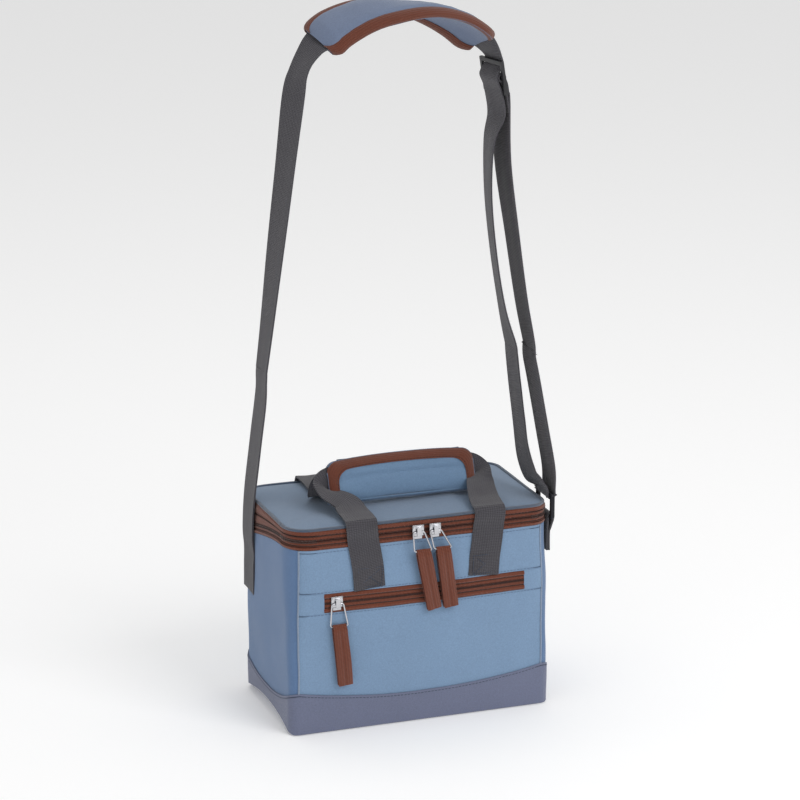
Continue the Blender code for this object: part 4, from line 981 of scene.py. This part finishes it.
def cast(name, boxes, bevel, surface, body, nodes):
    """A cast piece: boxes joined and softened."""
    parts = []
    for index, (low, high) in enumerate(boxes):
        mesh = bpy.data.meshes.new(name)
        work = bmesh.new()
        bmesh.ops.create_cube(work, size=1)
        for vert in work.verts:
            vert.co = Vector([(a + b) / 2 + c * (b - a) for a, b, c in zip(low, high, vert.co)])
        work.to_mesh(mesh)
        work.free()
        part = bpy.data.objects.new("%s_%d" % (name, index), mesh)
        bpy.context.scene.collection.objects.link(part)
        parts.append(part)
    made = parts[0]
    made.name = name
    for other in parts[1:]:
        join = made.modifiers.new("join", "BOOLEAN")
        join.operation = "UNION"
        join.solver = "EXACT"
        join.object = other
    soften = made.modifiers.new("soften", "BEVEL")
    soften.width = bevel
    soften.segments = 3
    soften.limit_method = "ANGLE"
    bpy.context.view_layer.update()
    graph = bpy.context.evaluated_depsgraph_get()
    mesh = bpy.data.meshes.new_from_object(made.evaluated_get(graph))
    for part in parts:
        bpy.data.objects.remove(part)
    mesh.materials.clear()
    mesh.materials.append(surface)
    mesh.shade_smooth()
    mesh.set_sharp_from_angle(angle=math.radians(40))
    done = bpy.data.objects.new(name, mesh)
    bpy.context.scene.collection.objects.link(done)
    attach(done, body)
    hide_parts(*nodes)
    return done


tab_length = 0.058


def pull(prefix, x, height, near, thickness, reach, bail_lean, tab_lean, slider_body, pull_body,
         length=0.018):
    """A slider at a place on its zip, the wire bail hooked in its bridge, and the tab on the bail."""
    face = near - thickness
    slot = face - 0.0022
    cast(
        prefix + "_cast",
        [
            ((x - 0.0056, face, height - 0.0040), (x + 0.0056, near, height + 0.0064)),
            ((x - 0.0040, face + 0.0003, height - 0.0070), (x + 0.0040, near, height - 0.0030)),
            ((x - 0.0022, slot - 0.0013, height - 0.0034), (x + 0.0022, slot, height + 0.0052)),
            ((x - 0.0022, slot - 0.0013, height + 0.0030), (x + 0.0022, face + 0.0005, height + 0.0052)),
        ],
        0.0015, bright_metal, slider_body, [prefix + "_slider"],
    )
    lean, turn = math.radians(bail_lean), math.radians(tab_lean)
    hang = (x, face - 0.0011, height - 0.0003)

    def bail_at(along, down):
        across = hang[0] + along - down * math.sin(lean)
        return across, hang[1] + reach * down / length, hang[2] + down * math.cos(lean)

    flat = []
    for cx, cz, start in ((0.0043, -0.0014, 0), (-0.0043, -0.0014, 90)):
        for a in (0, 30, 60, 90):
            angle = math.radians(start + a)
            flat.append((cx + math.cos(angle) * 0.0014, cz + math.sin(angle) * 0.0014))
    foot = [(0.0069, -length), (0.0080, 0.0006 - length), (0.0083, 0.0016 - length)]
    flat += [(-along, down) for along, down in foot[::-1]] + [(0, -length)] + foot
    wire = swept(prefix + "_wire", [bail_at(*spot) for spot in flat], 0.0008, bright_metal,
                 [prefix + "_bail"], sides=14)
    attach(wire, pull_body)
    centre = bail_at(0, -length)
    grid = []
    for share in np.linspace(-1, 1, 61):
        down = -tab_length * abs(share) if abs(share) > 0.04 else 0
        side = -1 if share < 0 else 1
        gap = 0.0016 * ease(-down, 0, 0.003) * (1 - 0.35 * ease(-down, 0.004, 0.05)) * side
        if down == 0:
            gap = 0.0016 * share / 0.04
        top = 0.0012 * (1 - (share / 0.04) ** 2) if abs(share) < 0.04 else 0
        line = []
        for across in np.linspace(-0.0065, 0.0065, 21):
            wave = noise.noise((down * 40 + x * 90, across * 90, 1)) * 0.0006
            angle = turn * ease(-down, 0, 0.012)
            place = across / 0.0065
            relief = 0.0007 * (1 - place**6) - 0.0006 * math.exp(-((place / 0.16) ** 2)) if down else 0
            wave += side * relief
            px = centre[0] + across * math.cos(angle) - down * math.sin(turn)
            pz = centre[2] + down * math.cos(turn) + across * math.sin(angle) + top
            skin = -half_deep - wall_offset(px, -half_deep, 0, -1, max(pz, 0.03)) - 0.0034
            free = centre[1] + gap + wave
            line.append((px, free + (min(skin, centre[1]) - centre[1]) * ease(-down, 0.004, 0.03), pz))
        grid.append(line)
    tab = cloth(prefix + "_ribbon", grid, 0.0009, tab_cloth, [prefix + "_tab"])
    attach(tab, pull_body)


pull("main_left", -0.0050, 0.1875, -0.0743, 0.0046, 0.0028, 11, 11, "main_left_slider", "main_left_pull")
pull("main_right", 0.0117, 0.1875, -0.0743, 0.0046, 0.0028, 20, 8, "main_right_slider", "main_right_pull")
pull("pocket", -0.0840, 0.1270, -0.0760, 0.0020, 0.0, 4, 5.5, "pocket_slider", "pocket_pull", 0.022)

# ---------------------------------------------------------------- shoulder strap
# Dark webbing sewn to the left side, and at the right looped through a steel ring that a webbing tab
# holds. The lower legs run between the bag and the strap. The upper ones carry the pad, and at the
# right the webbing doubles back through a moulded three-bar glide.

skin_x = half_wide + 0.0003 + 0.0008
full = (0, 0.030, 0)
slanted = (0, 0.0291, 0.006)
twist = math.radians(23)


def turned(share, turn=twist):
    """Width of the webbing where it has turned by a share of its twist."""
    return (-math.sin(turn * share) * 0.030, math.cos(turn * share) * 0.030, 0)


left = [((-skin_x, 0.049, 0.104), full), ((-skin_x, 0.048, 0.129), full), ((-skin_x, 0.047, 0.146), full)]
left += [((-0.1309, 0.0455, 0.164), full), ((-0.1312, 0.036, 0.205), slanted)]
left += [((-0.1307, 0.017, 0.260), slanted), ((-0.1299, 0.003, 0.305), full)]
left += [((-0.1298, 0, 0.326), full), ((-0.1295, 0, 0.3335), full)]
lower = webbing("strap_left_low", left, 0.0016, webbing_cloth, ["strap_left_lower"],
                cup=0.0003)
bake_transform(lower)
left = [((-0.1295, 0, 0.3330), full), ((-0.1195, 0, 0.410), turned(0.3))]
left += [((-0.1078, 0, 0.500), turned(0.64)), ((-0.0968, 0, 0.583), turned(0.95))]
left += [((-0.0905, 0, 0.610), turned(0.6)), ((-0.0790, 0, 0.629), (-0.0080, 0.0268, 0.0090))]
left += [((-0.0700, 0, 0.6365), (-0.0115, 0.0246, 0.0128))]
upper = webbing("strap_left_high", left, 0.0016, webbing_cloth, ["strap_left_upper"],
                10, 0.0003)
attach(upper, "shoulder_strap")

bar_z, ring_x, turn_r = 0.2042, 0.1325, 0.0034
right = [((0.1312, -0.010, 0.3335), full), ((0.1313, -0.0105, 0.325), full)]
right += [((0.1318, -0.020, 0.305), (0, 0.027, -0.0126)), ((0.1330, -0.040, 0.262), (0, 0.027, -0.0126))]
right += [((0.1360, -0.0495, 0.228), (0, 0.030, -0.003))]
right += [((ring_x + turn_r, -0.051, bar_z + 0.004), full)]
for angle in range(0, -181, -30):
    a = math.radians(angle)
    right.append(((ring_x + turn_r * math.cos(a), -0.051, bar_z + turn_r * math.sin(a)), full))
right += [((0.1284, -0.0505, bar_z + 0.0055), full), ((0.1252, -0.048, 0.2143), (0, 0.0285, -0.0090))]
right += [((0.1200, -0.042, 0.2212), (0, 0.0255, -0.0150)), ((0.1176, -0.030, 0.2385), (0, 0.0246, -0.0170))]
right += [((0.1188, -0.018, 0.2639), (0, 0.0280, -0.0105)), ((0.1190, -0.008, 0.2903), full)]
right += [((0.1184, -0.002, 0.313), full), ((0.1178, 0, 0.3265), full), ((0.1171, 0, 0.3335), full)]
lower = webbing("strap_right_low", right, 0.0015, webbing_cloth, ["strap_right_lower"],
                6, 0.0002)
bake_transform(lower)

slight = math.radians(10)
middle = np.array([0.097, 0, 0.593])
over = np.array([-math.sin(slight), math.cos(slight), 0])
up = np.array([-0.167, 0, 0.986])
up = up - over * up.dot(over)
up /= np.linalg.norm(up)
out = np.cross(over, up)


def glide(spots):
    """Places near the glide, in millimetres out from it and up along it."""
    return [(tuple(middle + out * a * 0.001 + up * b * 0.001), tuple(over * 0.030)) for a, b in spots]


loop = [(3.55 * math.cos(math.radians(a)), 3.55 * math.sin(math.radians(a))) for a in range(0, 249, 31)]
outer = [((0.1312, -0.010, 0.3330), full), ((0.1306, -0.0095, 0.341), full)]
outer += [((0.1262, -0.002, 0.378), turned(0.17, slight)), ((0.1170, 0, 0.441), turned(0.4, slight))]
outer += [((0.1068, 0, 0.512), turned(0.7, slight))]
outer += glide([(4.7, -24), (4.7, -14), (4.3, -7), (3.65, -2.5)] + loop)
outer += glide([(1.3, -6.8), (2.6, -10.8), (2.7, -13.5), (2.7, -34)])
piece = webbing("strap_right_outer_run", outer, 0.0015, webbing_cloth,
                ["strap_right_outer"], 6)
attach(piece, "shoulder_strap")
inner = [((0.1171, 0, 0.3330), full), ((0.1152, 0, 0.341), full), ((0.1075, 0, 0.373), turned(-0.8, slight))]
inner += [((0.0985, 0, 0.425), turned(-1, slight)), ((0.0925, 0, 0.482), turned(-1, slight))]
inner += [((0.0930, 0, 0.532), turned(-0.3, slight))]
inner += glide([(-2.7, -36), (-2.7, -13.5), (-3.9, -6.8), (-5.5, -1), (-5, 2.4)])
inner += glide([(-2.9, 5.7), (0.4, 8.8), (2.7, 12), (2.8, 17)])
inner += [((0.0915, 0, 0.6195), (-0.0070, 0.0280, -0.0068))]
inner += [((0.0850, 0, 0.6272), (-0.0090, 0.0264, -0.0112))]
piece = webbing("strap_right_inner_run", inner, 0.0015, webbing_cloth,
                ["strap_right_inner"], 6)
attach(piece, "shoulder_strap")


def bars(name, parts, surface, body, nodes, bevel):
    """A moulded frame drawn from boxes in the glide's own directions."""
    made = cast(name, parts, bevel, surface, body, nodes)
    turn = Matrix((tuple(over), tuple(up), tuple(out))).transposed().to_4x4()
    made.data.transform(Matrix.Translation(Vector(middle)) @ turn)
    return made


thick = 0.0015
bars("glide", [
    ((-0.0195, -0.016, -thick), (0.0195, -0.012, thick)),
    ((-0.0195, -0.002, -thick), (0.0195, 0.002, thick)),
    ((-0.0195, 0.012, -thick), (0.0195, 0.016, thick)),
    ((-0.0195, -0.016, -thick), (-0.0160, 0.016, thick)),
    ((0.0160, -0.016, -thick), (0.0195, 0.016, thick)),
], dark_plastic, "shoulder_strap", ["tri_glide"], 0.0008)

ring = []
for cy, cz, start in ((1, 1, 0), (-1, 1, 90), (-1, -1, 180), (1, -1, 270)):
    for a in (0, 30, 60, 90):
        angle = math.radians(start + a)
        y = -0.051 + cy * 0.0158 + math.cos(angle) * 0.0015
        z = 0.1935 + cz * 0.0092 + math.sin(angle) * 0.0015
        ring.append((ring_x, y, z))
piece = swept("ring", ring, 0.0024, dark_metal, ["strap_ring"], sides=20)
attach(piece, "bag")
tab = [((skin_x, -0.051, z), full) for z in (0.150, 0.160, 0.1695)]
tab += [((skin_x + 0.0004, -0.051, 0.1785), full)]
for a in (175, 140, 105, 70, 35, 0):
    angle = math.radians(a)
    tab.append(((ring_x + 0.0028 * math.cos(angle), -0.051, 0.1828 + 0.0028 * math.sin(angle)), full))
tab += [((0.1350, -0.051, 0.1795), full), ((0.1322, -0.051, 0.1718), full)]
tab += [((0.1310, -0.051, z), full) for z in (0.1675, 0.150)]
piece = webbing("ring_tab_webbing", tab, 0.0015, webbing_cloth, ["ring_tab"], 5)
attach(piece, "bag")

# ---------------------------------------------------------------- shoulder pad
# A puffed canvas upper and a thin lining with the strap between them, stitched through and bound
# with brown tape along both long edges. It droops at its sides and twists along its length.

pad_line = [(-0.0728, 0.6345), (-0.0575, 0.6470), (-0.0295, 0.6580), (0.0025, 0.6602), (0.0340, 0.6562)]
pad_line += [(0.0630, 0.6442), (0.0858, 0.6268)]
pad_curve = curve_through(pad_line, 9)
pad_ahead = np.gradient(pad_curve, axis=0)
pad_ahead /= np.linalg.norm(pad_ahead, axis=1, keepdims=True)
pad_out = np.stack([-pad_ahead[:, 1], pad_ahead[:, 0]], 1)
pad_last = len(pad_curve) - 1
pad_roll = [math.radians(3 + 32 * math.cos(math.pi * i / pad_last)) for i in range(len(pad_curve))]


def pad_spot(index, wide, rise):
    """A place on the pad, which rolls forward at its left end and back at its right."""
    roll = pad_roll[index]
    rise -= 0.0050 * (wide / 0.0238) ** 2
    over = wide * math.cos(roll) - rise * math.sin(roll)
    proud = wide * math.sin(roll) + rise * math.cos(roll)
    x, z = pad_curve[index]
    return x + pad_out[index, 0] * proud, over, z + pad_out[index, 1] * proud


def pad_half(index):
    """Half of the pad's width, which narrows to its ends."""
    ends = min(index, pad_last - index) / 5
    return 0.0238 - 0.006 * (1 - min(ends, 1)) ** 2


def pad_grid(height):
    grid = []
    for index in range(len(pad_curve)):
        half = pad_half(index)
        grid.append([pad_spot(index, share * half, height(index, share)) for share in np.linspace(-1, 1, 31)])
    return grid


def pad_top(index, share):
    """Height of the upper over the strap: puffed, drawn down at the stitches, and creased."""
    ends = min(index, pad_last - index) / 6
    puff = max(1 - share**6, 0) * (0.35 + 0.65 * min(ends, 1))
    stitched = 0.0018 * math.exp(-(((abs(share) - 0.78) / 0.045) ** 2))
    crease = noise.noise((index * 0.12, share * 1.4, 6)) * 0.0009
    crease += noise.noise((index * 0.5, share * 0.8, 2)) * 0.0005
    return 0.0022 + 0.0050 * puff - stitched + crease * puff


upper = cloth("pad_upper", pad_grid(pad_top), canvas_thick, pad_cloth, ["shoulder_pad"])
lining = pad_grid(lambda i, s: -0.0024 + noise.noise((i * 0.3, s * 2, 1)) * 0.0004)
lining = cloth("pad_under", lining, 0.0008, pad_cloth, ["pad_lining"])
for piece in (upper, lining):
    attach(piece, "shoulder_strap")
for side, name, node in ((-1, "front", "pad_binding_front"), (1, "back", "pad_binding_back")):
    strip = []
    seam = []
    for index in range(len(pad_curve)):
        line = []
        for angle in np.linspace(-128, 128, 15):
            a = math.radians(angle)
            wide = side * (pad_half(index) - 0.0040 + math.cos(a) * 0.0058)
            line.append(pad_spot(index, wide, 0.0006 + math.sin(a) * 0.0048))
        strip.append(line)
        spot = pad_spot(index, side * (pad_half(index) - 0.0062), 0.0046)
        outward = np.array(pad_spot(index, 0, 1)) - np.array(pad_spot(index, 0, 0))
        seam.append((*spot, *outward))
    edge = cloth("pad_edge_" + name, strip, 0.0009, binding_cloth, [node])
    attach(edge, "shoulder_strap")
    row = placed_along(seam[2:-2], stitch_pitch)
    repeated("pad_stitches_" + name, row, stitch, thread_dark, "shoulder_strap")

# ---------------------------------------------------------------- floor, light and camera
# A pale floor that shines a little, in white surroundings. A large lamp stands in front at the
# right, a weak one in front at the left and one above.

for helper in (tooth, pocket_tooth, stitch):
    bpy.data.objects.remove(helper)
floor_mesh = bpy.data.meshes.new("floor")
corners = [(-6, -6, -0.0003), (6, -6, -0.0003), (6, 6, -0.0003), (-6, 6, -0.0003)]
floor_mesh.from_pydata(corners, [], [(0, 1, 2, 3)])
floor_surface, nodes, links, shader = shader_of("floor", 0.9)
shader.inputs["Base Color"].default_value = (0.95, 0.95, 0.95, 1)
shader.inputs["Emission Color"].default_value = (1, 1, 1, 1)
shader.inputs["Emission Strength"].default_value = 0.14
floor_mesh.materials.append(floor_surface)
floor = bpy.data.objects.new("floor", floor_mesh)
bpy.context.scene.collection.objects.link(floor)

scene = bpy.context.scene
world = bpy.data.worlds.new("studio")
scene.world = world
world.use_nodes = True
nodes, links = world.node_tree.nodes, world.node_tree.links
background = nodes["Background"]
background.inputs["Color"].default_value = (1, 1, 1, 1)
seen = nodes.new("ShaderNodeLightPath")
strength = add_math(nodes, links, "MULTIPLY_ADD", seen.outputs["Is Camera Ray"], 0.5)
strength.node.inputs[2].default_value = 0.62
links.new(strength, background.inputs["Strength"])
centre = Vector((0.00545, 0, 0.2915))
for name, place, size, power in (
    ("key", (1.0, -2.0, 1.9), 1.5, 27),
    ("fill", (-1.8, -1.4, 1.0), 1.8, 2.5),
    ("top", (0.0, 0.6, 2.6), 1.6, 8),
):
    light = bpy.data.lights.new(name, "AREA")
    light.size = size
    light.energy = power
    lamp = bpy.data.objects.new(name, light)
    lamp.location = place
    lamp.rotation_euler = (centre - Vector(place)).to_track_quat("-Z", "Y").to_euler()
    scene.collection.objects.link(lamp)
turn, lift, distance = math.radians(-19.86), math.radians(16.04), 3.0
lens = bpy.data.cameras.new("camera")
lens.lens = 144.3
lens.sensor_width = 36
camera = bpy.data.objects.new("camera", lens)
away = Vector((math.sin(turn) * math.cos(lift), -math.cos(turn) * math.cos(lift), math.sin(lift)))
camera.location = centre + away * distance
camera.rotation_euler = (-away).to_track_quat("-Z", "Y").to_euler()
scene.collection.objects.link(camera)
scene.camera = camera
scene.view_settings.view_transform = "Standard"
